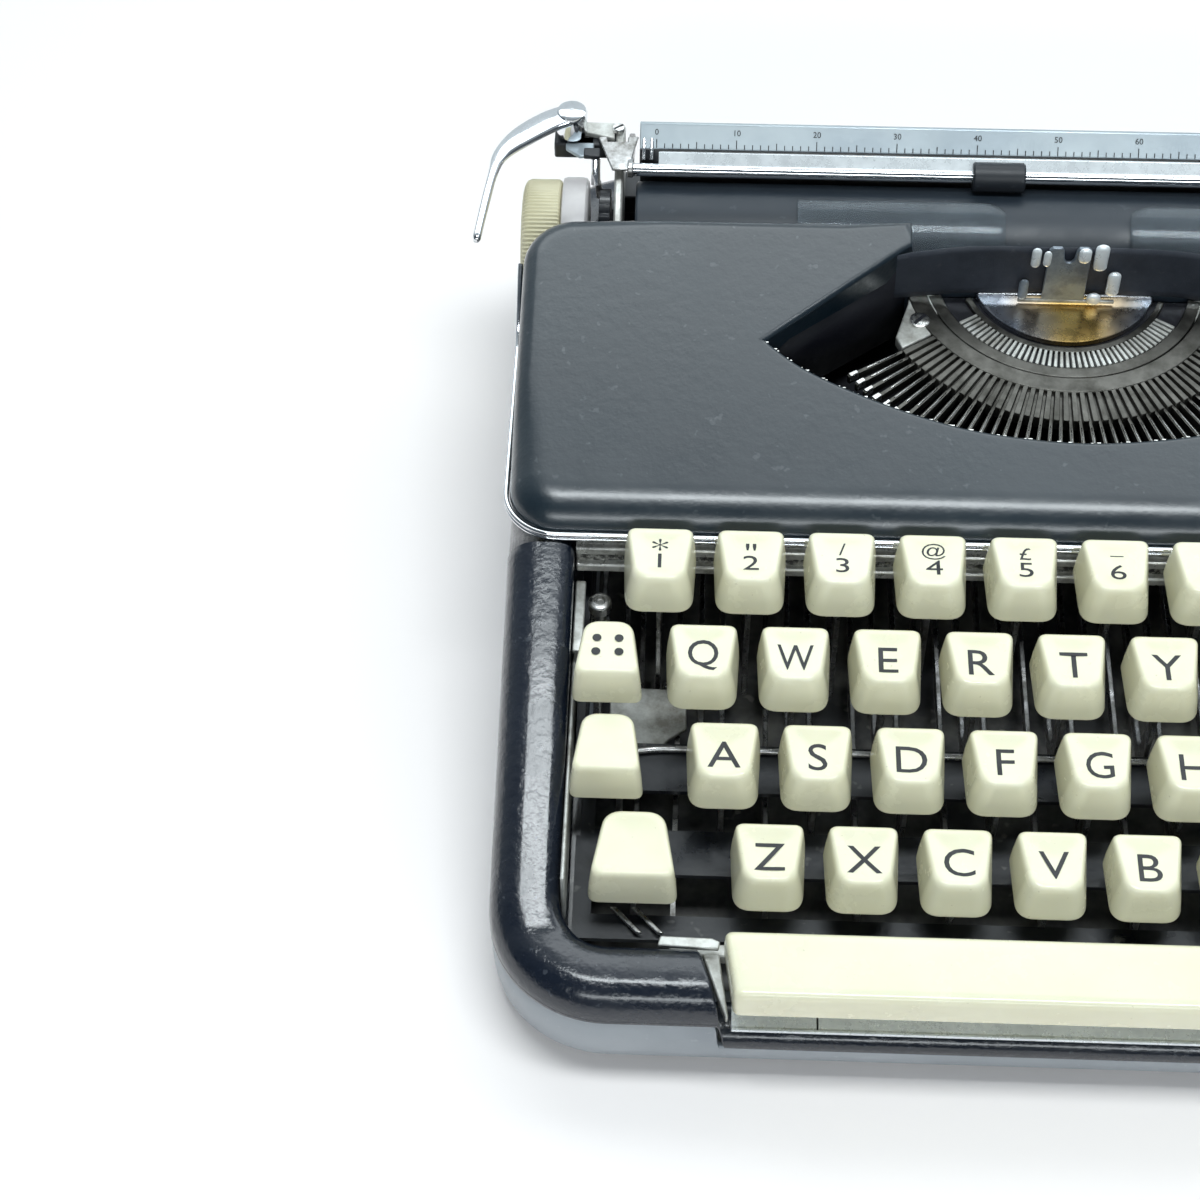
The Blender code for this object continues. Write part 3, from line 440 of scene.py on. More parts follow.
    # heat-tinted mirror of the half-round plate, amber in the middle and blue-grey at the ends
    tree, shader, where = startFinish("tintedMirror")
    split = tree.nodes.new("ShaderNodeSeparateXYZ")
    tree.links.new(where, split.inputs["Vector"])
    middle = toWorld((basket["x"] + 2.0, 0, 0)).x
    away = tree.nodes.new("ShaderNodeMath")
    away.operation = "SUBTRACT"
    away.inputs[1].default_value = middle
    tree.links.new(split.outputs["X"], away.inputs[0])
    size = tree.nodes.new("ShaderNodeMath")
    size.operation = "ABSOLUTE"
    tree.links.new(away.outputs[0], size.inputs[0])
    wander = tree.nodes.new("ShaderNodeMath")
    wander.operation = "MULTIPLY_ADD"
    wander.inputs[1].default_value = 0.012
    tree.links.new(noise(tree, where, 70, 2, 0.5), wander.inputs[0])
    tree.links.new(size.outputs[0], wander.inputs[2])
    tint = spread(tree, wander.outputs[0], 0, 1, 0.009, 0.021)
    colour = blendColour(tree, tint, (0.72, 0.48, 0.16), (0.5, 0.53, 0.6))
    tree.links.new(colour, shader.inputs["Base Color"])
    shader.inputs["Metallic"].default_value = 1.0
    tree.links.new(spread(tree, noise(tree, where, 300, 4, 0.6), 0.22, 0.34), shader.inputs["Roughness"])
    bumps(tree, shader, ((noise(tree, where, 500, 2, 0.5), 0.05, 0.05),))

    tree, shader, where = startFinish("clearSheet")
    haze = noise(tree, where, 80, 4, 0.6)
    colour = blendColour(tree, spread(tree, haze, 0, 1), (0.8, 0.86, 0.9), (0.7, 0.76, 0.8))
    tree.links.new(colour, shader.inputs["Base Color"])
    tree.links.new(spread(tree, haze, 0.06, 0.14), shader.inputs["Roughness"])
    shader.inputs["Transmission Weight"].default_value = 0.96
    shader.inputs["IOR"].default_value = 1.22
    shader.inputs["Specular IOR Level"].default_value = 0.3
    bumps(tree, shader, ((noise(tree, where, 200, 2, 0.5), 0.05, 0.1),))
    print("finishes mixed")


case = {"corner": 25.0, "panTop": 19.5, "panLip": 10.2, "footHeight": 2.5,
        "frontTop": 27.0, "backTop": 50.0, "flangeTop": 47.6, "rearTop": 31.0, "lipTop": 14.6,
        "gapHalf": 93.5, "skirt": 9.0, "endLean": 0.3}
cover = {"front": -28.0, "back": 52.0, "frontTop": 57.0, "slope": 0.149, "skirt": 49.4, "roll": 8.0,
         "sheet": 1.5}
basket = {"x": -18.5, "y": 52.2, "top": 51.0, "chord": 45.4, "bars": 42, "firstAngle": 213.0,
          "lastAngle": 327.0}
sideStops = [-100 + 4 * i for i in range(18)] + [-30.2, -28.6, -20, 0, 20, 29, 32, 36, 40, 44, 52, 62, 72]
endStops = [93.5, 93.8, 94.2, 94.6, 95.0, 95.4, 95.9]
lipStops = [-x for x in reversed(endStops)] + [-70, -35, 0, 35, 70] + endStops


def casePlan(inset, frontXs):
    half = caseHalf - inset
    front = caseFront + inset
    back = caseBack - inset
    r = max(case["corner"] - inset, 0.5)
    points = arc(-half + r, front + r, r, 180, 270, 18)
    points += [(x, front) for x in frontXs]
    points += arc(half - r, front + r, r, 270, 360, 18)
    points += [(half, y) for y in sideStops]
    points += arc(half - r, back - r, r, 0, 90, 18)
    points += arc(-half + r, back - r, r, 90, 180, 18)
    points += [(-half, y) for y in reversed(sideStops)]
    return points


def sideTop(y):
    if y < -29.6:
        return ramp(y, -112, -30, case["frontTop"], case["backTop"])
    if y < 30:
        return case["flangeTop"]
    return ramp(y, 30, 44, case["flangeTop"], case["rearTop"])


def buildCase():
    bm = bmesh.new()
    profile = [(12, 0, "f"), (6, 0.05, "f"), (3.0, 0.3, "f"), (1.5, 1.2, "f"), (0.8, 2.6, "f"),
               (0.45, 5, "f"), (0.3, 9, "f"), (0.3, -0.5, "t"), (0.7, 0, "t"), (1.6, 0, "t"),
               (2.0, -0.5, "t"), (2.4, 8, "f"), (4.2, 3.2, "f"), (12, 1.6, "f")]
    rings = []
    for inset, level, kind in profile:
        ring = []
        for x, y in casePlan(inset, lipStops):
            low = 1 - easeStep(abs(x), case["gapHalf"] + 1.2, case["gapHalf"] + 2.2)
            if y > caseFront + 14:
                low = 0
            top = case["panTop"] + (case["panLip"] - case["panTop"]) * low
            z = top + level if kind == "t" else min(case["footHeight"] + level, top - 0.6)
            ring.append((x, y, z))
        rings.append(ring)
    skin(bm, rings)
    addPiece("casePan", bm, "panEnamel", "machine_frame", sharp=50, standsFor=("base_pan",))

    # rolled rail: outer wall, crown, inner roll, skirt and the underside of the sheet
    section = [(0.0, "bottom", 0.0), (0.0, "top", -8.0)]
    for i in range(1, 10):
        a = math.radians(10 * i)
        section.append((6.8 * (1 - math.cos(a)), "top", -7.4 * (1 - math.sin(a))))
    section += [(8.6, "top", -0.02), (10.4, "top", -0.12)]
    for i in range(1, 7):
        a = math.radians(15 * i)
        section.append((10.6 + 3.9 * math.sin(a), "top", -0.2 - 3.3 * (1 - math.cos(a))))
    section += [(14.5, "skirt", 0.0), (13.1, "skirt", 0.0), (13.1, "top", -4.0), (9.0, "top", -1.8),
                (5.0, "top", -2.6), (1.6, "top", -7.0), (1.5, "bottom", 0.0)]
    bm = bmesh.new()
    rings = []
    for inset, level, offset in section:
        ring = []
        for x, y in casePlan(inset, lipStops):
            rail = easeStep(abs(x), case["gapHalf"] - 0.1, case["gapHalf"] + 1.7)
            nearFront = y < caseFront + 20
            if not nearFront:
                rail = 1.0
            frontLine = abs(x) < caseHalf - case["corner"]
            top = case["frontTop"] if frontLine and y < 0 else sideTop(y)
            bottom = case["panTop"] + 0.25
            skirt = max(top - case["skirt"], bottom)
            lipBottom = case["panLip"] + 0.25
            heights = {"bottom": bottom, "top": top + offset, "skirt": skirt}
            lipHeights = {"bottom": lipBottom, "top": max(case["lipTop"] + offset * 0.45, lipBottom + 0.2),
                          "skirt": lipBottom}
            z = lipHeights[level] + (heights[level] - lipHeights[level]) * rail
            if rail < 1:
                y = caseFront + inset * (0.62 + 0.38 * rail)
            if nearFront and case["gapHalf"] - 0.1 < abs(x) < case["gapHalf"] + 3:
                x += math.copysign(inset * case["endLean"], x)
            ring.append((x, y, z))
        rings.append(ring)
    skin(bm, rings, loop=True)
    addPiece("railShell", bm, "navyEnamel", "machine_frame", sharp=60, standsFor=("upper_case",))

    for side, hand in ((-1, "Left"), (1, "Right")):
        for y, place, node in ((caseFront + 24, "Front", "foot_front_"),
                               (caseBack - 24, "Back", "foot_back_")):
            bm = bmesh.new()
            x = side * (caseHalf - 24)
            profile = ((0.02, 5.2), (0.02, 6.6), (0.3, 7.3), (0.9, 7.8), (1.8, 8.0), (2.4, 8.0),
                       (2.46, 6.0))
            turned(bm, profile, (x, y, 0), "Z", 40)
            addPiece("foot" + place + hand, bm, "rubberFoot", "machine_frame",
                     standsFor=(node + hand.lower(),))
    print("case shaped")


def coverTop(y):
    return cover["frontTop"] + cover["slope"] * (y - cover["front"] - cover["roll"])


def between(start, end, steps):
    return [tuple(start[k] + (end[k] - start[k]) * i / steps for k in range(len(start)))
            for i in range(1, steps)]


def coverOutline():
    half = caseHalf
    front = cover["front"]
    back = cover["back"]
    roll = cover["roll"]
    low = cover["skirt"]
    x0 = basket["x"]
    points = [(x, y, roll, low) for x, y in arc(-half + 11, front + 11, 11, 180, 270, 16)]
    points += between(points[-1], (half - 11, front, roll, low), 30)
    for x, y in arc(half - 11, front + 11, 11, 270, 360, 16):
        points.append((x, y, ramp(y, front + 4, front + 11, roll, 5.0), low))
    points += [(half, y, 5.0, low) for y in (-8, 0, 8, 18, 28, 34)]
    for x, y in arc(half - 12, back - 12, 12, 0, 90, 12):
        points.append((x, y, 4.0, ramp(y, 28, 43, low, 62.5)))
    points += [(x, back, 3.5, 63.4) for x in (110, 90, 70, 50, 30)]
    points.append((x0 + 36.0, back, 1.2, 63.4))
    curve = [(69.0, 18.5), (60.5, 11.5), (48.0, 5.0), (34.0, -0.6), (20.0, -4.2), (0.0, -6.0)]
    curve += [(-dx, y) for dx, y in reversed(curve[:-1])]
    points.append((x0 + 36.0, 45.5, 1.2, 63.4))
    points += [(x, y, 1.2, 58.0) for x, y in between((x0 + 36.0, 45.5), (x0 + 69.0, 18.5), 6)]
    for p in smoothPath([(dx, y, 0) for dx, y in curve], 5):
        points.append((x0 + p.x, p.y, 1.2, 54.5))
    points += [(x, y, 1.2, 58.0) for x, y in between((x0 - 69.0, 18.5), (x0 - 36.0, 45.5), 6)]
    points.append((x0 - 36.0, 45.5, 1.2, 63.4))
    points.append((x0 - 36.0, back, 2.0, 63.4))
    points += [(x, back, 3.5, 63.4) for x in (-70, -90, -110)]
    for x, y in arc(-half + 12, back - 12, 12, 90, 180, 12):
        points.append((x, y, 5.0, ramp(y, 28, 43, low, 62.5)))
    points += [(-half, y, 5.0, low) for y in (34, 28, 18, 8)]
    points += [(-half, y, ramp(y, 4, -12, 5.0, roll), low) for y in (2, -4, -10)]
    return points


def buildCover():
    outline = coverOutline()
    flat = [(p[0], p[1]) for p in outline]
    rolls = [p[2] for p in outline]
    count = range(len(flat))
    steps = 9
    rings = []
    # k = 0 is the inner edge of the roll on the flat top, k = steps the outer wall
    for k in range(steps + 1):
        a = math.radians(90 * k / steps)
        moved = insetLoop(flat, [r * (1 - math.sin(a)) for r in rolls])
        ring = []
        for i in count:
            fall = rolls[i] * 0.8 * (1 - math.cos(a))
            ring.append((moved[i][0], moved[i][1], coverTop(moved[i][1]) - fall))
        rings.append(ring)
    inner = insetLoop(flat, [r + 1.2 for r in rolls])
    rings.insert(0, [(*inner[i], coverTop(inner[i][1])) for i in count])
    rings.append([(*flat[i], outline[i][3] + 0.3) for i in count])
    under = insetLoop(flat, [cover["sheet"] * 0.4] * len(flat))
    rings.append([(*under[i], outline[i][3]) for i in count])
    under = insetLoop(flat, [cover["sheet"]] * len(flat))
    rings.append([(*under[i], outline[i][3]) for i in count])
    rings.append([(*under[i], max(coverTop(flat[i][1]) - rolls[i] - 1.0, outline[i][3] + 0.4))
                  for i in count])
    deep = insetLoop(flat, [max(r, cover["sheet"]) + 0.3 for r in rolls])
    rings.append([(*deep[i], coverTop(deep[i][1]) - cover["sheet"]) for i in count])
    bm = bmesh.new()
    skin(bm, rings)
    addPiece("ribbonCover", bm, "coverEnamel", "machine_frame", sharp=55, standsFor=("ribbon_cover",),
             weighted=True)

    # two bright beads and the groove between them, round the cover's lower edge
    half = caseHalf + 0.2
    front = cover["front"]
    path = [(-half, 42, 59.4), (-half, 39, 57.6), (-half, 36, 55.5), (-half, 33, 53.4), (-half, 30, 51.6),
            (-half, 27, 50.4), (-half, 24, 49.9), (-half, 18, 49.7), (-half, 8, 49.6), (-half, -6, 49.6)]
    path += [(x, y, 49.6) for x, y in arc(-half + 11, front + 10.8, 11, 180, 270, 16)]
    path += between(path[-1], (half - 11, path[-1][1], 49.6), 24)
    path += [(-x, y, z) for x, y, z in reversed(path[:26])]
    for name, rise in (("trimBeadLow", 0.0), ("trimBeadHigh", 1.25)):
        bm = bmesh.new()
        section = []
        for i in range(10):
            a = 2 * math.pi * i / 10
            section.append((0.62 + 0.6 * math.cos(a), rise + 0.5 * math.sin(a)))
        ribbonPath(bm, path, section)
        if rise:
            addPiece(name, bm, "chrome", "machine_frame", sharp=60)
        else:
            addPiece(name, bm, "chrome", "machine_frame", sharp=60, standsFor=("cover_trim",))
    bm = bmesh.new()
    edge = [(x, y) for x, y, r, low in outline if low == 54.5]
    for i in range(len(edge) - 1):
        for k in range(2):
            t = (k + 0.5 + 0.3 * math.sin(i * 5.1 + k)) / 2
            x = edge[i][0] + (edge[i + 1][0] - edge[i][0]) * t
            y = edge[i][1] + (edge[i + 1][1] - edge[i][1]) * t
            size = 0.22 + 0.16 * math.sin(i * 3.7 + k * 2.3)
            z = coverTop(y) - 0.95
            brick(bm, x - size * 1.6, x + size, y - 0.1, y + 0.12 + size * 0.3, z - size, z + size)
    addPiece("coverEdgeChips", bm, "brightTip", "machine_frame", bevel=0.05, segments=1)
    print("ribbon cover rolled")


keyboard = {"pitch": 19.05, "capDepth": 13.6, "capBack": 13.9, "capFront": 10.0, "capHeight": 9.8,
            "dish": 0.4, "letterSize": 6.9, "digitSize": 4.1, "signSize": 3.8, "fulcrumY": 66.0,
            "fulcrumZ": 14.0, "leverLow": 11.4, "leverHigh": 14.4, "leverSheet": 1.1}
rowLetters = ("1234567", "qwerty", "asdfgh", "zxcvb")
rightLegends = ((("'", "8"), ("(", "9"), (")", "0"), ("?", "-"), ("+", "=")),
                ("U", "I", "O", "P", ("¼", "½")), ("J", "K", "L", (":", ";"), ("@", "¢")),
                ("N", "M", (",", ","), (".", "."), ("?", "/")))
leftShifted = {"1": "*", "2": "\"", "3": "/", "4": "@", "5": "£", "6": "_", "7": "&"}


def capOutline(back, front, depth, backRound, frontRound, grow):
    b = back / 2 + grow
    f = front / 2 + grow
    d = depth / 2 + grow
    corners = ((-f, -d, frontRound), (f, -d, frontRound), (b, d, backRound), (-b, d, backRound))
    points = []
    for i, (x, y, r) in enumerate(corners):
        here = Vector((x, y))
        before = Vector(corners[i - 1][:2])
        after = Vector(corners[(i + 1) % 4][:2])
        a = (before - here).normalized()
        c = (after - here).normalized()
        half = a.angle(c) / 2
        reach = r / math.tan(half)
        start = here + a * reach
        end = here + c * reach
        for k in range(9):
            t = k / 8
            s = start * (1 - t) * (1 - t) + here * 2 * t * (1 - t) + end * t * t
            points.append((s.x, s.y))
    return points


def capRings(x, y, top, back, front, depth, backRound, frontRound, dish, height, flare):
    rings = []
    for grow, z, widen in ((0.75, -height, 2.6), (0.8, -height + 0.5, 2.6), (0.62, -height * 0.55, 1.7),
                           (0.3, -1.7, 0.5), (0.16, -0.75, 0.2), (-0.04, -0.32, 0.0), (-0.32, -0.08, 0.0),
                           (-0.7, 0.0, 0.0), (-1.5, -0.05, 0.0)):
        widen *= flare
        shift = -0.2 * widen
        rings.append([(x + u, y + v + shift, top + z)
                      for u, v in capOutline(back, front + widen, depth, backRound, frontRound, grow)])
    inner = capOutline(back, front, depth, backRound, frontRound, -1.5)
    for scale in (0.82, 0.6, 0.36, 0.12):
        drop = dish * (1 - scale * scale)
        rings.append([(x + u * scale, y + v * scale, top - 0.06 - drop) for u, v in inner])
    return rings


def addCap(name, x, y, top, body, back=None, front=None, depth=None, backRound=1.7, frontRound=4.0,
           standsFor=(), dish=None, flare=1.0):
    bm = bmesh.new()
    skin(bm, capRings(x, y, top, back or keyboard["capBack"], front or keyboard["capFront"],
                      depth or keyboard["capDepth"], backRound, frontRound,
                      keyboard["dish"] if dish is None else dish, keyboard["capHeight"], flare))
    return addPiece(name, bm, "ivoryKey", body, sharp=70, standsFor=standsFor, weighted=True)


def addLegend(name, text, x, y, size, cap, body, squeeze=1.0, tilt=0.0):
    curve = bpy.data.curves.new(name, "FONT")
    curve.body = text
    curve.size = size * 1.38
    curve.align_x = "CENTER"
    curve.align_y = "CENTER"
    curve.resolution_u = 4
    holder = bpy.data.objects.new(name + "Outline", curve)
    bpy.context.scene.collection.objects.link(holder)
    graph = bpy.context.evaluated_depsgraph_get()
    mesh = bpy.data.meshes.new_from_object(holder.evaluated_get(graph))
    bpy.data.objects.remove(holder)
    bpy.data.curves.remove(curve)
    bm = bmesh.new()
    bm.from_mesh(mesh)
    bpy.data.meshes.remove(mesh)
    bmesh.ops.triangulate(bm, faces=bm.faces[:])
    low = [min(v.co[k] for v in bm.verts) for k in (0, 1)]
    high = [max(v.co[k] for v in bm.verts) for k in (0, 1)]
    middle = Vector(((low[0] + high[0]) / 2, (low[1] + high[1]) / 2))
    turn = Matrix.Rotation(math.radians(tilt), 2)
    tree = BVHTree.FromObject(cap, bpy.context.evaluated_depsgraph_get())
    for vertex in bm.verts:
        flat = turn @ (Vector((vertex.co.x, vertex.co.y)) - middle)
        p = toWorld((x + flat.x * squeeze, y + flat.y, 120))
        hit = tree.ray_cast(p, Vector((0, 0, -1)))[0]
        height = (hit.z * 1000 if hit else 0) + 0.05
        vertex.co = (x + flat.x * squeeze, y + flat.y, height)
    return addPiece(name, bm, "legendInk", body, sharp=80)


def leverOutline(y, capBottom):
    hook = 2.3
    fy = keyboard["fulcrumY"]
    fz = keyboard["fulcrumZ"]
    low = keyboard["leverLow"]
    high = keyboard["leverHigh"]
    outline = [(y - 3.0, low), (fy - hook, low)] + arc(fy, fz, hook, 180, 0, 10)
    outline += [(fy + hook, low), (fy + hook + 2, low), (fy + hook + 2, fz + hook + 1.6),
                (fy - 8, fz + hook + 1.6), (fy - 12, high), (y + 5.0, high), (y + 3.4, high + 0.5),
                (y + 2.2, high + 2.0), (y + 1.6, high + 5.0), (y + 1.6, capBottom + 1.0),
                (y - 3.0, capBottom + 1.0)]
    return outline


def addLever(name, x, y, capBottom, body):
    bm = bmesh.new()
    half = keyboard["leverSheet"] / 2
    slab(bm, leverOutline(y, capBottom), "X", x - half, x + half)
    return addPiece(name, bm, "leverSteel", body, bevel=0.16, segments=1)


def addFullKey(tag, legends, x, y, top, body, standsFor, leverX=None, shape=None):
    cap = addCap("cap" + tag, x, y, top, body, standsFor=standsFor, **(shape or {}))
    addLever("lever" + tag, x if leverX is None else leverX, y, top - keyboard["capHeight"], body)
    if len(legends) == 1:
        squeeze = {"W": 0.76, "M": 0.82, "Q": 0.9, "O": 0.92, "G": 0.95}.get(legends[0], 1.06)
        addLegend("letter" + tag, legends[0], x, y - 1.1, keyboard["letterSize"], cap, body, squeeze)
    elif len(legends) == 2:
        sign = keyboard["signSize"] * (1.3 if legends[0] in "*\"'" else 0.82)
        addLegend("signHigh" + tag, legends[0], x, y + 2.4, sign, cap, body, 1.25)
        addLegend("signLow" + tag, legends[1], x, y - 1.8, keyboard["digitSize"], cap, body, 1.35)
    return cap


def rowPlace(node):
    low, high = nodeBox(node)
    return (low.x + high.x) / 2, low.y, high.z


def buildKeys():
    for row, letters in enumerate(rowLetters):
        for letter in letters:
            node = "key_" + letter
            x, front, top = rowPlace(node)
            y = front + 7.3
            legends = (leftShifted[letter], letter) if row == 0 else (letter.upper(),)
            addFullKey(letter.upper(), legends, x, y, top, node, (node,))
        last = rowPlace("key_" + letters[-1])
        body = "keys_right_row_" + str(row + 1)
        for column, sign in enumerate(rightLegends[row]):
            x = last[0] + (column + 1) * keyboard["pitch"]
            y = last[1] + 7.3
            tag = "Right" + str(row + 1) + "_" + str(column + 1)
            addFullKey(tag, sign, x, y, last[2], body, (body,) if column == 0 else ())
    print("letter keys set out")


def buildSideKeys():
    arch = {"back": 9.6, "front": 13.2, "depth": 13.2, "backRound": 3.6, "frontRound": 1.9, "dish": 0.2,
            "flare": 0.1}
    low, high = nodeBox("key_margin_release")
    y = low.y + 6.6 + 1.0
    addFullKey("MarginRelease", (), -119.5, y, high.z, "key_margin_release", ("key_margin_release",),
                     -121.9, arch)
    for n, (dx, dy) in enumerate(((-2.3, 2.1), (2.3, 2.1), (-2.4, -1.4), (2.4, -1.4))):
        bm = bmesh.new()
        middle = bm.verts.new((-119.5 + dx, y + dy, high.z - 0.02))
        ring = []
        for i in range(20):
            a = 2 * math.pi * i / 20
            ring.append(bm.verts.new((-119.5 + dx + 0.95 * math.cos(a), y + dy + 0.95 * math.sin(a),
                                      high.z - 0.02)))
        for i in range(20):
            bm.faces.new((middle, ring[i], ring[(i + 1) % 20]))
        addPiece("marginDot" + str(n + 1), bm, "legendInk", "key_margin_release")
    low, high = nodeBox("key_shift_lock")
    arch = dict(arch, back=10.0, front=13.8, depth=13.8)
    addFullKey("ShiftLock", (), -119.0, low.y + 6.9 + 1.0, high.z, "key_shift_lock", ("key_shift_lock",),
               -116.5, arch)
    low, high = nodeBox("key_backspace")
    addFullKey("Backspace", (), 118.3, low.y + 6.6 + 1.0, high.z, "key_backspace", ("key_backspace",), None,
               dict(arch, front=13.2, depth=13.2))
    low, high = nodeBox("key_shift_pair")
    wide = {"back": 11.8, "front": 17.0, "depth": 15.2, "backRound": 4.2, "frontRound": 2.2, "dish": 0.2,
            "flare": 0.1}
    for side, hand in ((-1, "Left"), (1, "Right")):
        stands = ("key_shift_pair",) if side < 0 else ()
        addFullKey("Shift" + hand, (), side * 112.9, low.y + 7.6 + 1.0, high.z, "key_shift_pair", stands,
                   None, wide)
        bm = bmesh.new()
        x = side * 112.9
        brick(bm, x - 0.5, x + 0.5, 68.6, 76.0, 12.2, 14.4)
        addPiece("shiftTail" + hand, bm, "wornSteel", "key_shift_pair", bevel=0.15)
    bm = bmesh.new()
    turned(bm, ((-113.3, 1.0), (-113.0, 1.25), (113.0, 1.25), (113.3, 1.0)), (0, 76.0, 13.3), "X", 20)
    addPiece("shiftShaft", bm, "wornSteel", "key_shift_pair")
    print("side keys set")


bar = {"halfBack": 94.4, "halfFront": 92.2, "depth": 15.4, "height": 8.0}


def buildSpaceBar():
    low, high = nodeBox("space_bar")
    barFront = low.y + 0.1
    barBack = barFront + bar["depth"]
    rings = []
    for grow, z in ((-0.5, -bar["height"]), (-0.1, -bar["height"] + 0.5), (0.0, -4.0), (-0.1, -1.6),
                    (-0.35, -0.7), (-0.8, -0.2), (-1.4, 0.0), (-2.6, 0.0)):
        ring = []
        w = bar["halfBack"] + grow
        f = bar["halfFront"] + grow
        front = barFront - grow
        back = barBack + grow
        corners = ((-f, front, 1.6), (f, front, 1.6), (w, back, 1.8), (-w, back, 1.8))
        for i, (x, y, r) in enumerate(corners):
            here = Vector((x, y))
            a = (Vector(corners[i - 1][:2]) - here).normalized() * r
            c = (Vector(corners[(i + 1) % 4][:2]) - here).normalized() * r
            for k in range(7):
                t = k / 6
                s = (here + a) * (1 - t) ** 2 + here * 2 * t * (1 - t) + (here + c) * t * t
                ring.append((s.x, s.y, high.z + z))
        rings.append(ring)
    bm = bmesh.new()
    skin(bm, rings)
    addPiece("spaceBar", bm, "ivoryKey", "space_bar", sharp=60, standsFor=("space_bar",), weighted=True)
    bm = bmesh.new()
    brick(bm, -60, 60, -118.3, -113.4, 19.0, 26.0)
    brick(bm, -105.1, 105.1, -113.3, -110.4, 17.7, 20.7)
    addPiece("spaceBarBracket", bm, "wornSteel", "space_bar", bevel=0.4)
    for side, hand in ((-1, "Left"), (1, "Right")):
        addLever("spaceLever" + hand, side * 104.6, -110.4, 18.0, "space_bar")
        # worn end fitting that shows beside the bar
        bm = bmesh.new()
        slab(bm, [(side * 95.0, -112.6), (side * 98.4, -112.8), (side * 96.2, -119.5),
                  (side * 93.6, -127.2), (side * 93.0, -127.0)], "Z", 18.6, 20.8)
        addPiece("spaceBarEnd" + hand, bm, "wornSteel", "machine_frame", bevel=0.3)
    print("space bar laid")


def addScrew(name, x, y, z, radius, body, finish="brightTip", turn=35.0, height=0.9):
    bm = bmesh.new()
    turned(bm, ((-height, radius), (-0.2, radius), (0, radius * 0.86), (0.05, 0.2)), (x, y, z), "Z", 28)
    addPiece(name, bm, finish, body, sharp=35)
    a = math.radians(turn)
    u = Vector((math.cos(a), math.sin(a)))
    v = Vector((-u.y, u.x)) * 0.17 * radius
    u = u * radius * 0.84
    # the slot is a near-black sliver laid on the head: painted shade for the recess
    bm = bmesh.new()
    slab(bm, [(x + p.x, y + p.y) for p in (-u - v, u - v, u + v, -u + v)], "Z", z - 0.1, z + 0.07)
    addPiece(name + "Slot", bm, "shadeAndJointBlack", body)


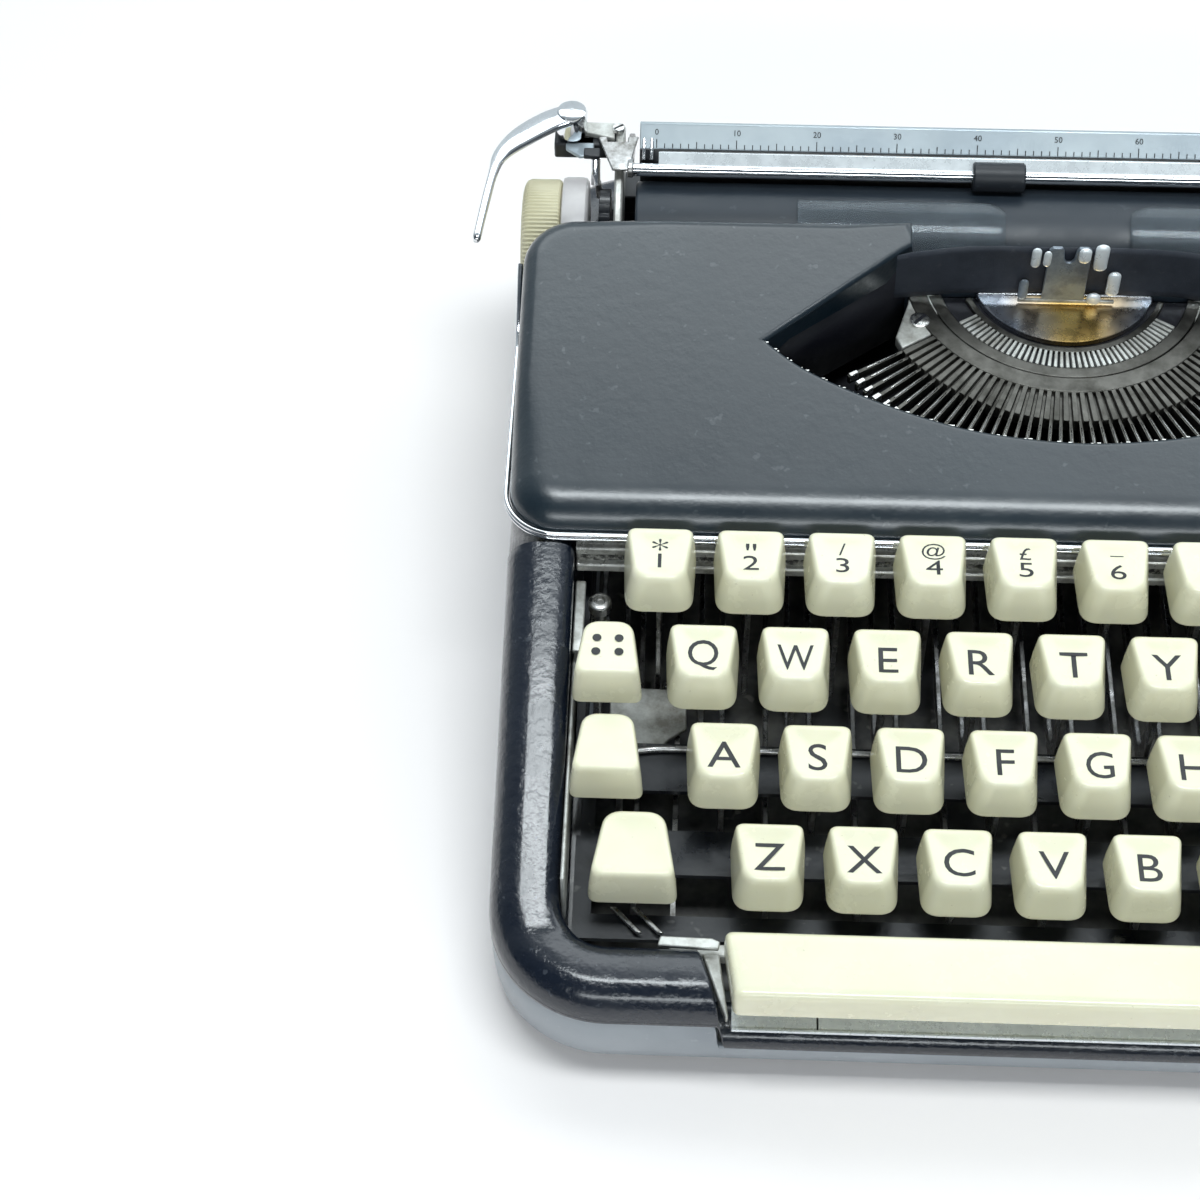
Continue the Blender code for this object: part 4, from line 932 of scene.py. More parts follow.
def buildInside():
    # C-shaped bar behind the number keys, bright lips and a dark speckled web
    low, high = nodeBox("channel_bar")
    y = low.y
    bm = bmesh.new()
    slab(bm, [(y, 39.5), (y + 3, 39.5), (y + 3, 47.2), (y, 47.2), (y, 45.2), (y + 0.5, 45.0),
              (y + 1.5, 44.8), (y + 1.5, 41.9), (y + 0.5, 41.7), (y, 41.5)], "X", low.x, high.x)
    addPiece("channelBar", bm, "channelSteel", "machine_frame", bevel=0.35, standsFor=("channel_bar",))
    bm = bmesh.new()
    brick(bm, low.x + 0.2, high.x - 0.2, y + 1.3, y + 1.6, 41.9, 44.8)
    addPiece("channelWeb", bm, "channelDark", "machine_frame")

    # tray under the levers, with pressed ribs: its grey-black tone is painted shade for the floor under the
    # keys, set a little lighter for the light that reaches it, with dust specks
    bm = bmesh.new()
    rows = []
    for i in range(45):
        yy = -112 + i * 4.6
        row = []
        for j in range(61):
            xx = -123.6 + j * 4.12
            z = 4.7 + 0.15 * math.sin(yy * 0.35) + 0.1 * math.sin(xx * 0.21 + yy * 0.1)
            row.append((xx, yy, z))
        rows.append(row)
    sheetGrid(bm, rows)
    addPiece("dustAndShadeTray", bm, "dustyShade", "machine_frame", sharp=80)

    # steel cross plate under the middle rows, black plate with a bright rear rim in front of it
    bm = bmesh.new()
    for side in (-1, 1):
        slab(bm, [(side * 119.4, -61.0), (side * 119.6, -43.0), (side * 103.0, -43.6),
                  (side * 102.6, -54.0), (side * 106.0, -56.5), (side * 110.0, -61.0)], "Z", 14.9, 15.9)
    addPiece("crossPlate", bm, "wornSteel", "machine_frame", bevel=0.3)
    bm = bmesh.new()
    rim = [(-123.6, -75, 21.6), (-121, -69, 21.6), (-116, -65.2, 21.6), (-111, -63.8, 21.7)]
    rim += [(x, -63.4, 21.7) for x in range(-104, 105, 16)]
    rim += [(-p[0], p[1], p[2]) for p in reversed(rim[:4])]
    tube(bm, smoothPath(rim, 5), 0.75, 12)
    addPiece("keyPlateRim", bm, "leverSteel", "machine_frame", sharp=60)

    # strips along the rail's inner side, spring posts and a coiled return spring
    for side, hand in ((-1, "Left"), (1, "Right")):
        bm = bmesh.new()
        brick(bm, side * 126.6, side * 127.4, -104, -30, 17.8, 33.6)
        addPiece("railStrip" + hand, bm, "wornSteel", "machine_frame", bevel=0.3)
        bm = bmesh.new()
        brick(bm, side * 125.2, side * 127.4, -50, -31.0, 36.8, 38.0)
        addPiece("flatStrip" + hand, bm, "wornSteel", "machine_frame", bevel=0.3)
        bm = bmesh.new()
        profile = ((0, 1.5), (6, 1.5), (6.2, 2.2), (8.0, 2.2), (8.2, 1.5), (14, 1.4), (14.2, 2.0),
                   (16.4, 2.0), (16.8, 1.3), (20, 1.3), (20.3, 2.5), (22.6, 2.5), (22.9, 2.2),
                   (23.0, 1.2), (22.4, 0.9), (22.4, 0.2))
        turned(bm, profile, (side * 122.0, -36.4, 15.0), "Z", 32)
        addPiece("screwPost" + hand, bm, "leverSteel", "machine_frame")
    bm = bmesh.new()
    coil = []
    for i in range(150):
        a = i * 0.55
        coil.append((-107.0 + 1.1 * math.cos(a), -52 + i * 0.085, 12.4 + 1.1 * math.sin(a)))
    tube(bm, coil, 0.22, 6)
    addPiece("returnSpring", bm, "leverSteel", "machine_frame", sharp=80)

    # worn bracket beside the end of the space bar, then the strip below the bar
    bm = bmesh.new()
    slab(bm, [(-107.5, -113.4), (-95.2, -113.9), (-94.9, -112.2), (-96.5, -111.4), (-107, -111.2)], "Z",
         23.6, 24.8)
    addPiece("railTab", bm, "wornSteel", "machine_frame", bevel=0.3)
    # strip and dark joint between the space bar and the front lip: the strip's steel is painted lighter
    # than the shade under the bar lets it look, and the thin bead along its front edge is a painted
    # highlight
    bm = bmesh.new()
    brick(bm, -92.3, 92.3, -126.7, -119.6, 15.0, 15.4)
    brick(bm, -92.3, 92.3, -127.2, -126.6, 15.0, 15.8)
    addPiece("lipStrip", bm, "steelPaintedSheen", "machine_frame", bevel=0.12)
    bm = bmesh.new()
    brick(bm, -75.2, -74.8, -126.7, -120.0, 15.38, 15.45)
    brick(bm, 74.8, 75.2, -126.7, -120.0, 15.38, 15.45)
    addPiece("lipStripJoints", bm, "shadeAndJointBlack", "machine_frame")
    for side, hand in ((-1, "Left"), (1, "Right")):
        bm = bmesh.new()
        for shift in (0.0, 4.4):
            slab(bm, [(side * (117.6 - shift), -101), (side * (116.2 - shift), -101),
                      (side * (110.8 - shift), -107), (side * (112.0 - shift), -107)], "Z",
                 17.6 + shift * 0.02, 18.6)
        addPiece("rubbedStrips" + hand, bm, "brightTip", "machine_frame", bevel=0.2)
    # the plain pressed frame keeps its own shape and takes the black finish
    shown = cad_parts["chassis"]
    for k in range(len(shown.data.materials)):
        shown.data.materials[k] = finishes["blackJapan"]
    print("inside fitted out")


def basketPoint(r, degrees):
    a = math.radians(degrees)
    return basket["x"] + r * math.cos(a), basket["y"] + r * math.sin(a)


def chordArc(r, margin=0.0):
    rise = (basket["chord"] - basket["y"]) / r
    start = 180 + math.degrees(math.asin(-rise)) + margin
    return start, 540 - start


def ringSector(bm, inner, outer, start, end, z0, z1, steps):
    outline = []
    for i in range(steps + 1):
        outline.append(basketPoint(outer, start + (end - start) * i / steps))
    for i in range(steps + 1):
        outline.append(basketPoint(inner, end + (start - end) * i / steps))
    slab(bm, outline, "Z", z0, z1)


def buildBasket():
    top = basket["top"]
    x0 = basket["x"]
    chord = basket["chord"]
    step = (basket["lastAngle"] - basket["firstAngle"]) / (basket["bars"] - 1)
    disc = 21.4

    start, end = chordArc(disc)
    bm = bmesh.new()
    slab(bm, arc(x0, basket["y"], disc, start, end, 60), "Z", top - 1.2, top + 0.35)
    addPiece("halfMirror", bm, "tintedMirror", "machine_frame", bevel=0.15, segments=1)
    bm = bmesh.new()
    brick(bm, x0 - 19.8, x0 + 19.8, chord - 0.35, chord + 0.15, top - 1.0, top + 0.75)
    addPiece("mirrorEdge", bm, "chrome", "machine_frame", bevel=0.12)

    # groove of painted shade (a near-black slab under the rings), fine comb, smooth ring, scored line, then
    # the slotted plate
    bm = bmesh.new()
    slab(bm, arc(x0, basket["y"], 33.4, *chordArc(33.4), 60), "Z", top - 8.3, top - 1.3)
    addPiece("shadeUnderSegment", bm, "shadeAndJointBlack", "machine_frame", standsFor=("type_segment",))
    bm = bmesh.new()
    s, e = chordArc(22.4)
    ringSector(bm, 22.6, 24.0, s + 1.4, e - 1.4, top - 2, top - 0.25, 60)
    addPiece("groundRing", bm, "segmentSteel", "machine_frame", bevel=0.15)
    bm = bmesh.new()
    for k in range(basket["bars"]):
        angle = basket["firstAngle"] + step * k
        ringSector(bm, 24.1, 28.9, angle - 0.8, angle + 0.8, top - 1.6, top - 0.1, 2)
    addPiece("pivotComb", bm, "wornSteel", "machine_frame", bevel=0.1, segments=1)
    bm = bmesh.new()
    s, e = chordArc(29.2)
    ringSector(bm, 29.0, 32.0, s, e, top - 2, top - 0.1, 60)
    addPiece("smoothRing", bm, "segmentSteel", "machine_frame", bevel=0.25)
    bm = bmesh.new()
    s, e = chordArc(32.3)
    ringSector(bm, 32.25, 36.6, s, e, top - 2, top + 0.12, 60)
    addPiece("outerRing", bm, "segmentSteel", "machine_frame", bevel=0.25)

    # plate between the slots, and the side lands that carry the screws
    bm = bmesh.new()
    for k in range(basket["bars"] - 1):
        angle = basket["firstAngle"] + step * (k + 0.5)
        ringSector(bm, 36.5, 45.2, angle - step * 0.31, angle + step * 0.31, top - 3.2, top + 0.06, 2)
    addPiece("slotFins", bm, "segmentSteel", "machine_frame", bevel=0.1, segments=1)
    for side, hand in ((-1, "Left"), (1, "Right")):
        bm = bmesh.new()
        land = [(-35.4, 45.3), (-35.9, 42.0), (-39.0, 31.6), (-37.6, 28.2), (-31.0, 32.6), (-29.4, 37.0),
                (-29.0, 45.3)]
        if side < 0:
            points = [(x0 + u, v) for u, v in land]
        else:
            points = [(x0 - u, v) for u, v in reversed(land)]
        slab(bm, points, "Z", top - 3.0, top - 0.2)
        addPiece("segmentLand" + hand, bm, "wornSteel", "machine_frame", bevel=0.3)
        addScrew("segmentScrew" + hand, x0 + side * 33.4, 36.6, top + 0.6, 2.3, "machine_frame", turn=48)

    # the type bars at rest: thin steel in the slots, widening to worn bright ends
    bars = bmesh.new()
    ends = bmesh.new()
    for k in range(basket["bars"]):
        angle = basket["firstAngle"] + step * k
        ringSector(bars, 33.6, 59.4, angle - 0.42, angle + 0.42, top - 3.1, top - 1.0, 3)
        wide = 0.52 + 0.1 * math.sin(k * 2.7)
        reach = 50.6 + 0.9 * math.sin(k * 1.9)
        ringSector(ends, 46.2, reach + 4.0, angle - 0.17, angle + 0.17, top - 2.2, top - 0.7, 2)
        ringSector(ends, 57.0 + 0.8 * math.sin(k * 3.1), 59.2, angle - wide, angle + wide, top - 2.6,
                   top - 0.6, 2)
    addPiece("typeBars", bars, "segmentSteel", "machine_frame", standsFor=("type_bars",))
    addPiece("typeBarEnds", ends, "brightTip", "machine_frame", bevel=0.14, segments=1)

    # near-black curtains under the slanted edges of the opening: painted shade for the dark space beneath
    # the cover
    for side, hand in ((-1, "Left"), (1, "Right")):
        bm = bmesh.new()
        line = [(-70.5, 16.6), (-69.2, 19.4), (-55, 31.0), (-37.5, 44.6), (-36.6, 46.2), (-36.6, 50.6)]
        grid = []
        for depth in (57.6, 50.0, 38.0):
            grid.append([(x0 - side * u, v,
                          min(depth, 57.6) + (4.6 * ramp(v, 18, 45, 0, 1) if depth > 50 else 0))
                         for u, v in line])
        sheetGrid(bm, grid)
        shadeCurtain = addPiece("openingShadeCurtain" + hand, bm, "shadeAndJointBlack", "machine_frame", sharp=40)
        thick = shadeCurtain.modifiers.new("sheet", "SOLIDIFY")
        thick.thickness = 0.0006
        thick.offset = 0
    # near-black slab under the basket: painted shade for the dark space below it
    bm = bmesh.new()
    brick(bm, x0 - 92, x0 + 92, -18, 50, 29.6, 30.6)
    addPiece("shadeUnderBasket", bm, "shadeAndJointBlack", "machine_frame", bevel=0.4)

    # upright guide with its notch, and the bright fingers round it
    x = x0 - 1.0
    z = top + 2.0
    y = chord - 3.2
    outline = [(x - 4.8, z), (x + 4.8, z), (x + 4.8, z + 15.4), (x + 4.0, z + 16.2), (x + 1.9, z + 16.2),
               (x + 1.4, z + 15.2), (x + 1.1, z + 12.6), (x + 0.5, z + 11.8), (x - 0.5, z + 11.8),
               (x - 1.1, z + 12.6), (x - 1.4, z + 15.2), (x - 1.9, z + 16.2), (x - 4.0, z + 16.2),
               (x - 4.8, z + 15.4)]
    bm = bmesh.new()
    slab(bm, outline, "Y", y, y + 0.9)
    addPiece("typeGuide", bm, "guideSteel", "machine_frame", bevel=0.2, standsFor=("type_guide",))
    fingers = (("A", -16.4, 41.2, 66.0, 70.2, 1.4, "steelPaintedSheen"),
               ("B", -12.4, 42.6, 62.4, 70.0, 1.6, "steelPaintedSheen"),
               ("C", -8.6, 42.6, 54.6, 61.6, 1.5, "steelPaintedSheen"),
               ("D", -12.5, 42.4, 51.8, 55.0, 1.6, "steelPaintedSheen"),
               ("E", -28.7, 42.4, 53.0, 59.0, 1.1, "guideSteel"),
               ("F", -26.9, 42.6, 63.0, 68.6, 1.1, "steelPaintedSheen"),
               ("G", -24.6, 41.3, 64.6, 69.0, 0.9, "steelPaintedSheen"))
    # fingers in the whitened steel carry their brightness as painted sheen in the colour
    for tag, fx, fy, z0, z1, r, finish in fingers:
        bm = bmesh.new()
        lengthUp = z1 - z0
        profile = [(0, r * 0.5), (0.4, r * 0.85), (1.0, r), (lengthUp - 1.0, r), (lengthUp - 0.4, r * 0.85),
                   (lengthUp, r * 0.5)]
        turned(bm, profile, (fx, fy, z0), "Z", 20)
        for vertex in bm.verts:
            vertex.co.y = fy + (vertex.co.y - fy) * 0.5
        addPiece("ribbonFinger" + tag, bm, finish, "machine_frame", sharp=60)
    bm = bmesh.new()
    brick(bm, -29.6, -7.6, 42.4, 43.1, 51.8, 52.8)
    addPiece("ribbonFork", bm, "wornSteel", "machine_frame", bevel=0.3)
    print("type basket filled")


spools = {"left": -106.0, "right": 92.0, "y": 8.0}


def buildRibbon():
    path = [(-110.0, 26.4, 51.4), (-96.0, 38.6, 51.4), (-58.0, 42.6, 51.8), (-38.5, 43.6, 53.4),
            (1.5, 43.6, 53.4), (23.0, 42.6, 51.8), (84.0, 38.6, 51.4), (96.0, 26.4, 51.4)]
    points = smoothPath(path, 8)
    rows = []
    for t in range(9):
        share = t / 8
        rows.append([(p.x, p.y + 0.25 + 0.12 * math.sin(p.x * 0.2 + 3 * share),
                      p.z + (10.3 + ramp(abs(p.x - basket["x"]), 38, 46, 4.0, 0)) * share) for p in points])
    bm = bmesh.new()
    sheetGrid(bm, rows)
    band = addPiece("inkRibbon", bm, "ribbonInk", "machine_frame", sharp=80, standsFor=("ribbon",))
    thick = band.modifiers.new("cloth", "SOLIDIFY")
    thick.thickness = 0.0002
    thick.offset = 0

    for side, hand, node, x in ((-1, "Left", "spool_left", spools["left"]),
                                (1, "Right", "spool_right", spools["right"])):
        bm = bmesh.new()
        profile = ((37.0, 5.0), (37.0, 17.0), (37.3, 17.5), (37.9, 17.5), (38.2, 17.0), (38.2, 15.0),
                   (51.0, 15.0), (51.0, 17.0), (51.3, 17.5), (51.9, 17.5), (52.2, 17.0), (52.2, 5.2),
                   (54.6, 4.6), (55.0, 4.0))
        turned(bm, profile, (x, spools["y"], 0), "Z", 64)
        addPiece("ribbonSpool" + hand, bm, "spoolMetal", node, sharp=40, standsFor=(node,))
        bm = bmesh.new()
        turned(bm, ((38.4, 15.2), (38.5, 15.35), (50.7, 15.35), (50.8, 15.2)), (x, spools["y"], 0), "Z", 64)
        addPiece("woundRibbon" + hand, bm, "ribbonInk", node, sharp=40)
    for hand, side in (("Left", -1), ("Right", 1)):
        low, high = nodeBox("card_holder_" + hand.lower())
        bm = bmesh.new()
        rows = []
        near = 16.5
        for i in range(19):
            a = math.radians(92 + 74 * i / 18)
            share = i / 18
            pull = 4.0 * (1 - min(share / 0.12, 1.0)) ** 2
            x0 = low.x + 0.3 + (pull if side > 0 else 0)
            x1 = high.x - 0.3 - (pull if side < 0 else 0)
            rows.append([(x0 + (x1 - x0) * k / 16, platenY + near * math.cos(a),
                          platenZ + near * math.sin(a))
                         for k in range(17)])
        sheetGrid(bm, rows)
        holder = addPiece("cardHolder" + hand, bm, "clearSheet", "machine_frame", sharp=80,
                          standsFor=("card_holder_" + hand.lower(),))
        thick = holder.modifiers.new("sheet", "SOLIDIFY")
        thick.thickness = 0.0007
        thick.offset = 0
        rim = holder.modifiers.new("rim", "BEVEL")
        rim.width = 0.0002
        rim.segments = 2
        rim.limit_method = "ANGLE"
    print("ribbon and card holders threaded")


carriage = {"scaleLeft": -113.0, "tick": 1.855, "ticks": 124, "knobRibs": 96}
rollLow, rollHigh = nodeBox("platen")
platenY = (rollLow.y + rollHigh.y) / 2
platenZ = (rollLow.z + rollHigh.z) / 2


def buildPlaten():
    bm = bmesh.new()
    turned(bm, ((-117.5, 3.0), (-117.5, 14.8), (-117.2, 15.2), (-116.8, 15.3), (116.8, 15.3), (117.2, 15.2),
                (117.5, 14.8), (117.5, 3.0)), (0, platenY, platenZ), "X", 96)
    addPiece("platenRoller", bm, "platenRubber", "platen_roll", standsFor=("platen",))
    bm = bmesh.new()
    turned(bm, ((-141.0, 2.6), (-140.8, 3.0), (140.8, 3.0), (141.0, 2.6)), (0, platenY, platenZ), "X", 32)
    addPiece("platenShaft", bm, "leverSteel", "platen_roll")
    for side, hand in ((-1, "Left"), (1, "Right")):
        bm = bmesh.new()
        turned(bm, ((side * 128.6, 3.0), (side * 128.6, 15.0), (side * 129.1, 15.7), (side * 130.0, 15.9),
                    (side * 133.6, 15.9), (side * 134.4, 15.6), (side * 134.7, 14.4), (side * 134.7, 3.0)),
               (0, platenY, platenZ), "X", 96)
        addPiece("knobHub" + hand, bm, "hubGrey", "platen_roll")
        bm = bmesh.new()
        turned(bm, ((side * 134.75, 14.2), (side * 135.0, 14.9), (side * 135.6, 15.3), (side * 142.0, 15.3),
                    (side * 142.9, 14.9), (side * 143.4, 14.2)), (0, platenY, platenZ), "X",
               carriage["knobRibs"] * 6, carriage["knobRibs"], 0.42)
        addPiece("knobGrip" + hand, bm, "knobCream", "platen_roll", sharp=75,
                 standsFor=("knob_" + hand.lower(),))
        bm = bmesh.new()
        turned(bm, ((side * 143.3, 13.9), (side * 143.6, 13.7), (side * 143.8, 12.8), (side * 143.5, 12.2),
                    (side * 143.2, 3.4), (side * 143.5, 3.0), (side * 143.5, 0.3)),
               (0, platenY, platenZ), "X", 64)
        addPiece("knobFace" + hand, bm, "knobCream", "platen_roll")
    bm = bmesh.new()
    rings = []
    teeth = 24
    for level in (-126.0, -123.4):
        ring = []
        for i in range(teeth * 4):
            a = 2 * math.pi * i / (teeth * 4)
            r = (13.4, 12.9, 12.0, 12.2)[i % 4]
            ring.append((level, platenY + r * math.cos(a), platenZ + r * math.sin(a)))
        rings.append(ring)
    skin(bm, rings)
    addPiece("ratchetWheel", bm, "blackJapan", "platen_roll", bevel=0.15, standsFor=("line_ratchet",))
    print("platen turned")


def buildCarriage():
    for side, hand in ((-1, "Left"), (1, "Right")):
        bm = bmesh.new()
        outline = [(54.5, 41.5), (89, 41.5), (89, 61), (82, 66.5), (72, 66.5), (64, 61), (54.5, 58.5)]
        outline = [(p.x, p.y) for p in smoothPath([(a, b, 0) for a, b in outline], 1)]
        slab(bm, outline, "X", side * 120.6, side * 122.6)
        addPiece("endPlate" + hand, bm, "wornSteel", "carriage", bevel=0.5,
                 standsFor=("carriage_frame",) if side < 0 else ())
    bm = bmesh.new()
    slab(bm, [(79.5, 41.6), (82.2, 41.6), (82.2, 44.4), (85.8, 44.4), (85.8, 41.6), (88.5, 41.6),
              (88.5, 47), (79.5, 47)], "X", -121.4, 121.4)
    addPiece("carriageBeam", bm, "blackJapan", "carriage", bevel=0.4)

    # paper table behind the platen with the scale bar along its upper edge
    under = []
    for i in range(17):
        a = math.radians(-12 + 64 * i / 16)
        under.append((platenY + 18.6 * math.cos(a), platenZ + 18.6 * math.sin(a)))
    under += [(74.4, 66.9)]
    bm = bmesh.new()
    rows = []
    for yy, zz in under:
        rows.append([(-116.9 + 233.8 * k / 40, yy, zz) for k in range(41)])
    sheetGrid(bm, rows)
    table = addPiece("paperTable", bm, "blackJapan", "carriage", sharp=60)
    thick = table.modifiers.new("sheet", "SOLIDIFY")
    thick.thickness = 0.0012
    thick.offset = 0
    bm = bmesh.new()
    bar = [(74.0, 67.4), (74.4, 67.0), (78.7, 71.2), (78.8, 71.6), (78.3, 71.9), (77.7, 71.9)]
    slab(bm, bar, "X", -116.9, 116.9)
    addPiece("scaleBar", bm, "scaleGrey", "carriage", bevel=0.2)
    along = Vector((0, 3.8, 4.8)).normalized()
    face = Vector((0, -4.8, 3.8)).normalized() * 0.06
    lines = bmesh.new()
    for k in range(carriage["ticks"]):
        x = carriage["scaleLeft"] + k * carriage["tick"]
        reach = 2.1 if k % 10 == 0 else (1.55 if k % 5 == 0 else 1.1)
        foot = Vector((x, 73.95, 67.5)) + along * 0.25 + face
        width = Vector((0.1, 0, 0))
        lines.faces.new([lines.verts.new(p) for p in (foot - width, foot + width,
                                                      foot + width + along * reach,
                                                      foot - width + along * reach)])
    addPiece("scaleMarks", lines, "legendInk", "carriage")
    tilt = math.atan2(4.8, 3.8)
    for k in range(0, carriage["ticks"], 10):
        x = carriage["scaleLeft"] + k * carriage["tick"]
        addScaleNumber("scaleNumber" + str(k), str(k), (x, 73.95, 67.5), along * 3.9 + face, tilt)

    # hinge cheeks, clips and the bracket that carries the return lever
    buildBracket()
    for x in (-115.0, 115.0):
        tag = "Left" if x < 0 else "Right"
        for n, shift in enumerate((-0.9, 0.9)):
            bm = bmesh.new()
            tube(bm, smoothPath([(x + shift, 79.4, 70.4), (x + shift, 75.4, 68.8),
                                 (x + shift, 71.4, 66.4)], 5),
                 0.45, 10)
            addPiece("bailPin" + tag + str(n + 1), bm, "chrome", "carriage")
    print("carriage framed")


def addScaleNumber(name, text, foot, lift, tilt):
    curve = bpy.data.curves.new(name, "FONT")
    curve.body = text
    curve.size = 1.9
    curve.align_x = "CENTER"
    curve.align_y = "CENTER"
    curve.resolution_u = 3
    holder = bpy.data.objects.new(name + "Outline", curve)
    bpy.context.scene.collection.objects.link(holder)
    graph = bpy.context.evaluated_depsgraph_get()
    mesh = bpy.data.meshes.new_from_object(holder.evaluated_get(graph))
    bpy.data.objects.remove(holder)
    bpy.data.curves.remove(curve)
    bm = bmesh.new()
    bm.from_mesh(mesh)
    bpy.data.meshes.remove(mesh)
    lean = Matrix.Rotation(tilt, 3, "X")
    place = Vector(foot) + lift
    for vertex in bm.verts:
        vertex.co = place + lean @ vertex.co
    addPiece(name, bm, "legendInk", "carriage")


def buildBracket():
    flat = (("bracketPlate", [(-133.6, 83.1), (-133.2, 80.6), (-122.9, 77.6), (-122.9, 82.8)], 65.9, 67.4,
             "wornSteel"),
            ("bracketTee", [(-126.8, 78.2), (-124.6, 78.3), (-124.4, 76.6), (-119.8, 76.6), (-119.7, 78.4),
                            (-117.2, 78.5), (-119.4, 67.2), (-123.1, 67.1)], 66.6, 67.3, "leverSteel"),
            ("bracketWhite", [(-134.4, 79.9), (-134.2, 75.4), (-131.0, 72.8), (-127.7, 73.0),
                              (-127.6, 79.4)],
             65.0, 65.9, "scaleGrey"),
            ("bracketCap", [(-129.9, 74.4), (-129.9, 71.6), (-126.1, 71.5), (-126.1, 74.4)], 66.0, 67.2,
             "blackJapan"))
    for name, outline, z0, z1, finish in flat:
        bm = bmesh.new()
        slab(bm, outline, "Z", z0, z1)
        addPiece(name, bm, finish, "carriage", bevel=0.3)
    bm = bmesh.new()
    slab(bm, [(76.8, 61.5), (83.4, 61.5), (83.4, 65.9), (76.8, 65.9)], "X", -137.0, -121.7)
    addPiece("bracketArm", bm, "blackJapan", "carriage", bevel=0.5)
    bm = bmesh.new()
    tube(bm, smoothPath([(-127.1, 72.6, 65.2), (-127.1, 71.0, 62.8), (-127, 69.4, 60.2)], 5), 1.1, 12)
    addPiece("detentArm", bm, "chrome", "carriage")
    bm = bmesh.new()
    tube(bm, smoothPath([(-126.6, 71, 59.5), (-126.4, 71.6, 57), (-126.2, 71.4, 54.5)], 5), 0.8, 12)
    addPiece("detentFoot", bm, "leverSteel", "carriage")
    addScrew("bracketScrew", -122.0, 80.6, 68.2, 1.5, "carriage", finish="brightTip")


def buildReturnLever():
    bm = bmesh.new()
    turned(bm, ((66.4, 2.6), (66.6, 3.3), (67.2, 3.6), (72.6, 3.6), (73.3, 3.3), (73.6, 2.6), (73.6, 0.4)),
           (-132.9, 80.2, 0), "Z", 48)
    addPiece("leverBoss", bm, "chrome", "return_lever", standsFor=("return_lever",))
    stops = [(-132.3, 80.6, 72, 3.4, 1), (-138.3, 77.3, 72, 3.4, 1), (-144.5, 71.7, 72, 3.0, 1),
             (-148.7, 65.9, 71.8, 1.8, 1), (-150, 60.2, 71.6, 1.1, 1.2), (-151.2, 51, 71.2, 1.0, 1.2),
             (-152.5, 39.2, 70.6, 0.9, 1)]
    spine = smoothPath([p[:3] for p in stops], 8)
    widths = smoothPath([(p[3], p[4], 0) for p in stops], 8)
    rings = []
    count = len(spine)
    for i, p in enumerate(spine):
        along = (spine[min(i + 1, count - 1)] - spine[max(i - 1, 0)]).normalized()
        side = Vector((along.y, -along.x, 0)).normalized()
        rise = side.cross(along)
        w = widths[i].x
        h = widths[i].y
        if i == 0 or i == count - 1:
            w *= 0.6
            h *= 0.6
        ring = []
        for k in range(20):
            a = 2 * math.pi * k / 20
            c = math.copysign(abs(math.cos(a)) ** 0.55, math.cos(a))
            s = math.copysign(abs(math.sin(a)) ** 0.8, math.sin(a))
            ring.append(p + side * w * c + rise * h * s)
        rings.append(ring)
    bm = bmesh.new()
    skin(bm, rings)
    addPiece("returnLever", bm, "chrome", "return_lever", sharp=70)
    print("return lever swept")


bail = {"rodY": 68.517, "rodZ": 66.018}


def buildBail():
    rodY = bail["rodY"]
    rodZ = bail["rodZ"]
    bm = bmesh.new()
    turned(bm, ((-118.9, 1.0), (-118.6, 1.5), (118.6, 1.5), (118.9, 1.0)), (0, rodY, rodZ), "X", 32)
    addPiece("bailRod", bm, "chrome", "paper_bail", standsFor=("paper_bail",))
    # flat bar of the bail in whitened steel: its brightness is a painted reflection of the bright back of
    # the room
    bm = bmesh.new()
    slab(bm, [(67.7, 66.5), (68.1, 65.9), (71.4, 68.4), (71.5, 69.0), (71.0, 69.4)], "X", -112.4, 112.4)
    addPiece("bailBar", bm, "steelPaintedSheen", "paper_bail", bevel=0.2)
    for side, hand in ((-1, "Left"), (1, "Right")):
        bm = bmesh.new()
        outline = [(84 + 2.4 * math.cos(math.radians(a)), 60 + 2.4 * math.sin(math.radians(a)))
                   for a in range(-150, 61, 30)]
        outline += [(rodY + 1.9 * math.cos(math.radians(a)), rodZ + 1.9 * math.sin(math.radians(a)))
                    for a in range(60, 241, 30)]
        slab(bm, outline, "X", side * 118.2, side * 119.6)
        addPiece("bailArm" + hand, bm, "leverSteel", "paper_bail", bevel=0.3)
    for node, name in (("bail_roller_left", "bailRollerLeft"), ("bail_roller_right", "bailRollerRight")):
        low, high = nodeBox(node)
        x = (low.x + high.x) / 2
        half = (high.x - low.x) / 2
        bm = bmesh.new()
        turned(bm, ((-half, 1.75), (-half, 3.0), (-half + 0.4, 3.4), (half - 0.4, 3.4), (half, 3.0),
                    (half, 1.75)),
               (x, rodY, rodZ), "X", 48, hollow=True)
        addPiece(name, bm, "bailRubber", node, standsFor=(node,))
    print("paper bail hung")


studio = {"backLight": 6.5, "overLight": 6.2, "frontLight": 5.5, "world": 0.72, "floor": (0.99, 0.94, 0.92)}


def addLight(name, place, aim, size, power):
    lamp = bpy.data.lights.new(name, "AREA")
    lamp.shape = "RECTANGLE"
    lamp.size = size[0]
    lamp.size_y = size[1]
    lamp.energy = power
    lamp.color = (0.91, 0.975, 1.0)
    light = bpy.data.objects.new(name, lamp)
    light.location = place
    light.rotation_euler = (Vector(aim) - Vector(place)).to_track_quat("-Z", "Y").to_euler()
    bpy.context.scene.collection.objects.link(light)


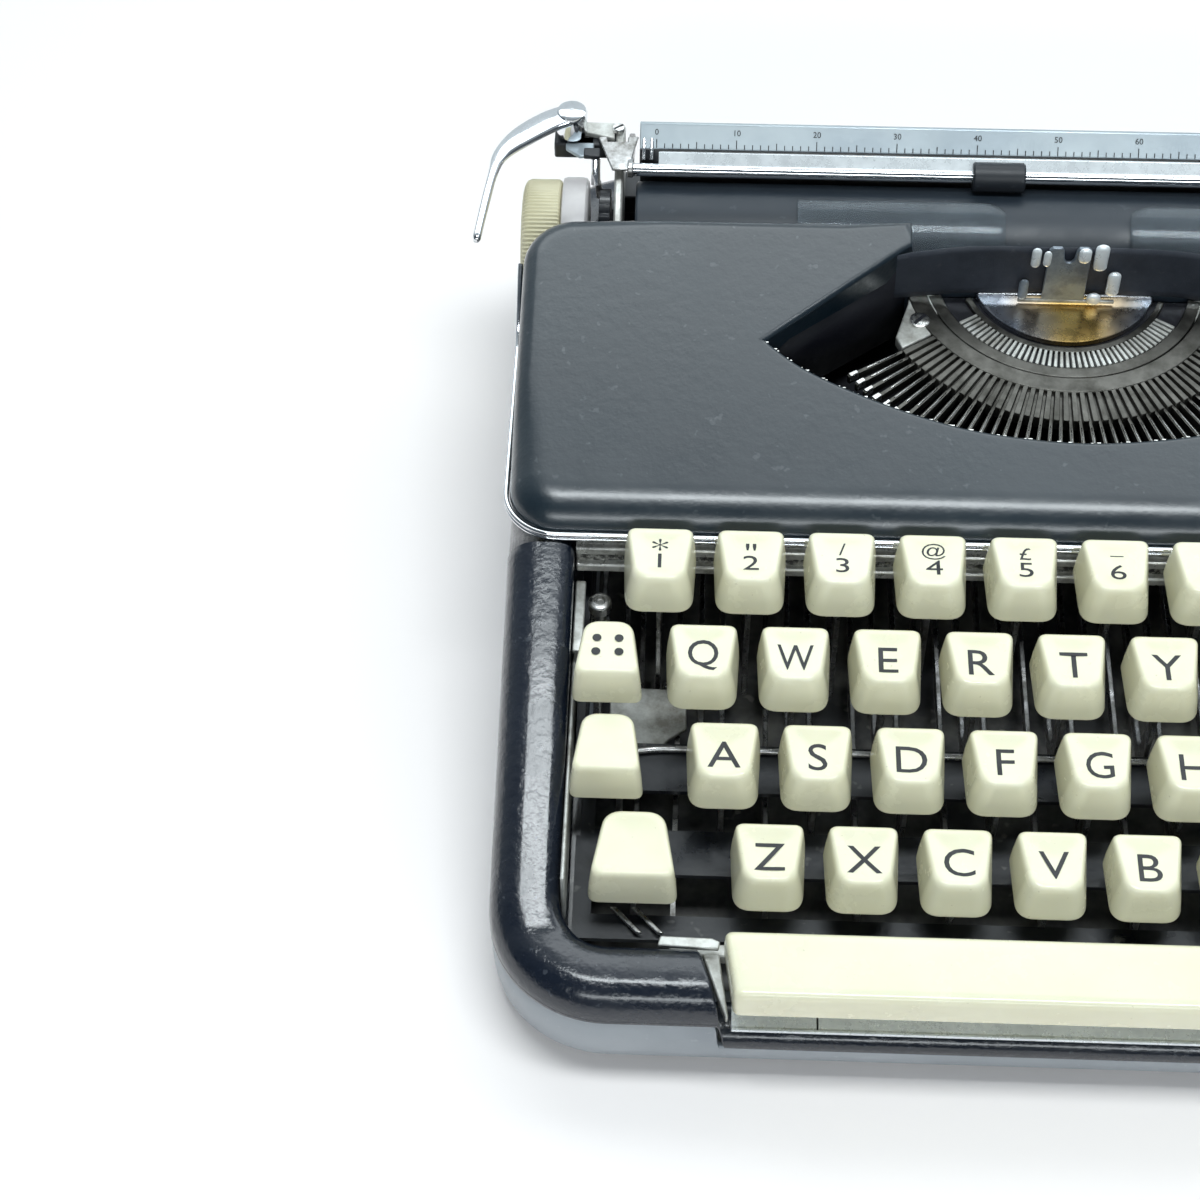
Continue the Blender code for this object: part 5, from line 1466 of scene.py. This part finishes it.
def buildStudio():
    mesh = bpy.data.meshes.new("studioFloor")
    mesh.from_pydata([(-4, -4, 0), (4, -4, 0), (4, 4, 0), (-4, 4, 0)], [], [(0, 1, 2, 3)])
    mat = bpy.data.materials.new("floorPaper")
    mat.use_nodes = True
    tree = mat.node_tree
    shader = tree.nodes["Principled BSDF"]
    where = tree.nodes.new("ShaderNodeTexCoord").outputs["Object"]
    cloud = noise(tree, where, 3, 3, 0.5)
    tree.links.new(blendColour(tree, cloud, studio["floor"], (0.97, 0.92, 0.9)),
                   shader.inputs["Base Color"])
    shader.inputs["Roughness"].default_value = 0.7
    mesh.materials.append(mat)
    floor = bpy.data.objects.new("studioFloor", mesh)
    bpy.context.scene.collection.objects.link(floor)

    world = bpy.data.worlds.new("softRoom")
    world.use_nodes = True
    # bright towards the back of the room, dim behind the typist
    sky = world.node_tree
    split = sky.nodes.new("ShaderNodeSeparateXYZ")
    sky.links.new(sky.nodes.new("ShaderNodeTexCoord").outputs["Generated"], split.inputs["Vector"])
    tone = blendColour(sky, spread(sky, split.outputs["Y"], 0, 1, -0.25, 0.8), (0.1, 0.12, 0.14),
                       (0.86, 0.97, 1.03))
    sky.links.new(tone, sky.nodes["Background"].inputs["Color"])
    sky.nodes["Background"].inputs["Strength"].default_value = studio["world"]
    bpy.context.scene.world = world
    middle = toWorld((0, -10, 30))
    addLight("backPanel", middle + Vector((0.1, 0.72, 0.98)), middle, (1.8, 0.5), studio["backLight"])
    over = middle + Vector((0.0, -0.05, 1.0))
    addLight("overPanel", over, over - Vector((0, 0, 1)), (0.66, 0.18), studio["overLight"])
    addLight("frontPanel", middle + Vector((0.1, -1.0, 0.62)), middle, (1.3, 0.16), studio["frontLight"])

    scene = bpy.context.scene
    scene.view_settings.view_transform = "Standard"
    pitch = 0.9084
    swing = -0.0507
    roll = -0.0138
    ahead = Vector((math.sin(swing) * math.cos(pitch), math.cos(swing) * math.cos(pitch), -math.sin(pitch)))
    right = Vector((math.cos(swing), -math.sin(swing), 0))
    up = right.cross(ahead)
    across = right * math.cos(roll) + up * math.sin(roll)
    upward = up * math.cos(roll) - right * math.sin(roll)
    lens = bpy.data.cameras.new("viewCamera")
    lens.sensor_width = 36
    lens.lens = 77.86
    camera = bpy.data.objects.new("viewCamera", lens)
    spot = toWorld((-104.594, -379.6, 478.75))
    turn = Matrix((across, upward, -ahead)).transposed().to_4x4()
    camera.matrix_world = Matrix.Translation(spot) @ turn
    scene.collection.objects.link(camera)
    scene.camera = camera
    print("studio lit")


makeFinishes()
buildCase()
buildCover()
buildKeys()
buildSideKeys()
buildSpaceBar()
buildInside()
buildBasket()
buildRibbon()
buildPlaten()
buildCarriage()
buildReturnLever()
buildBail()
buildStudio()
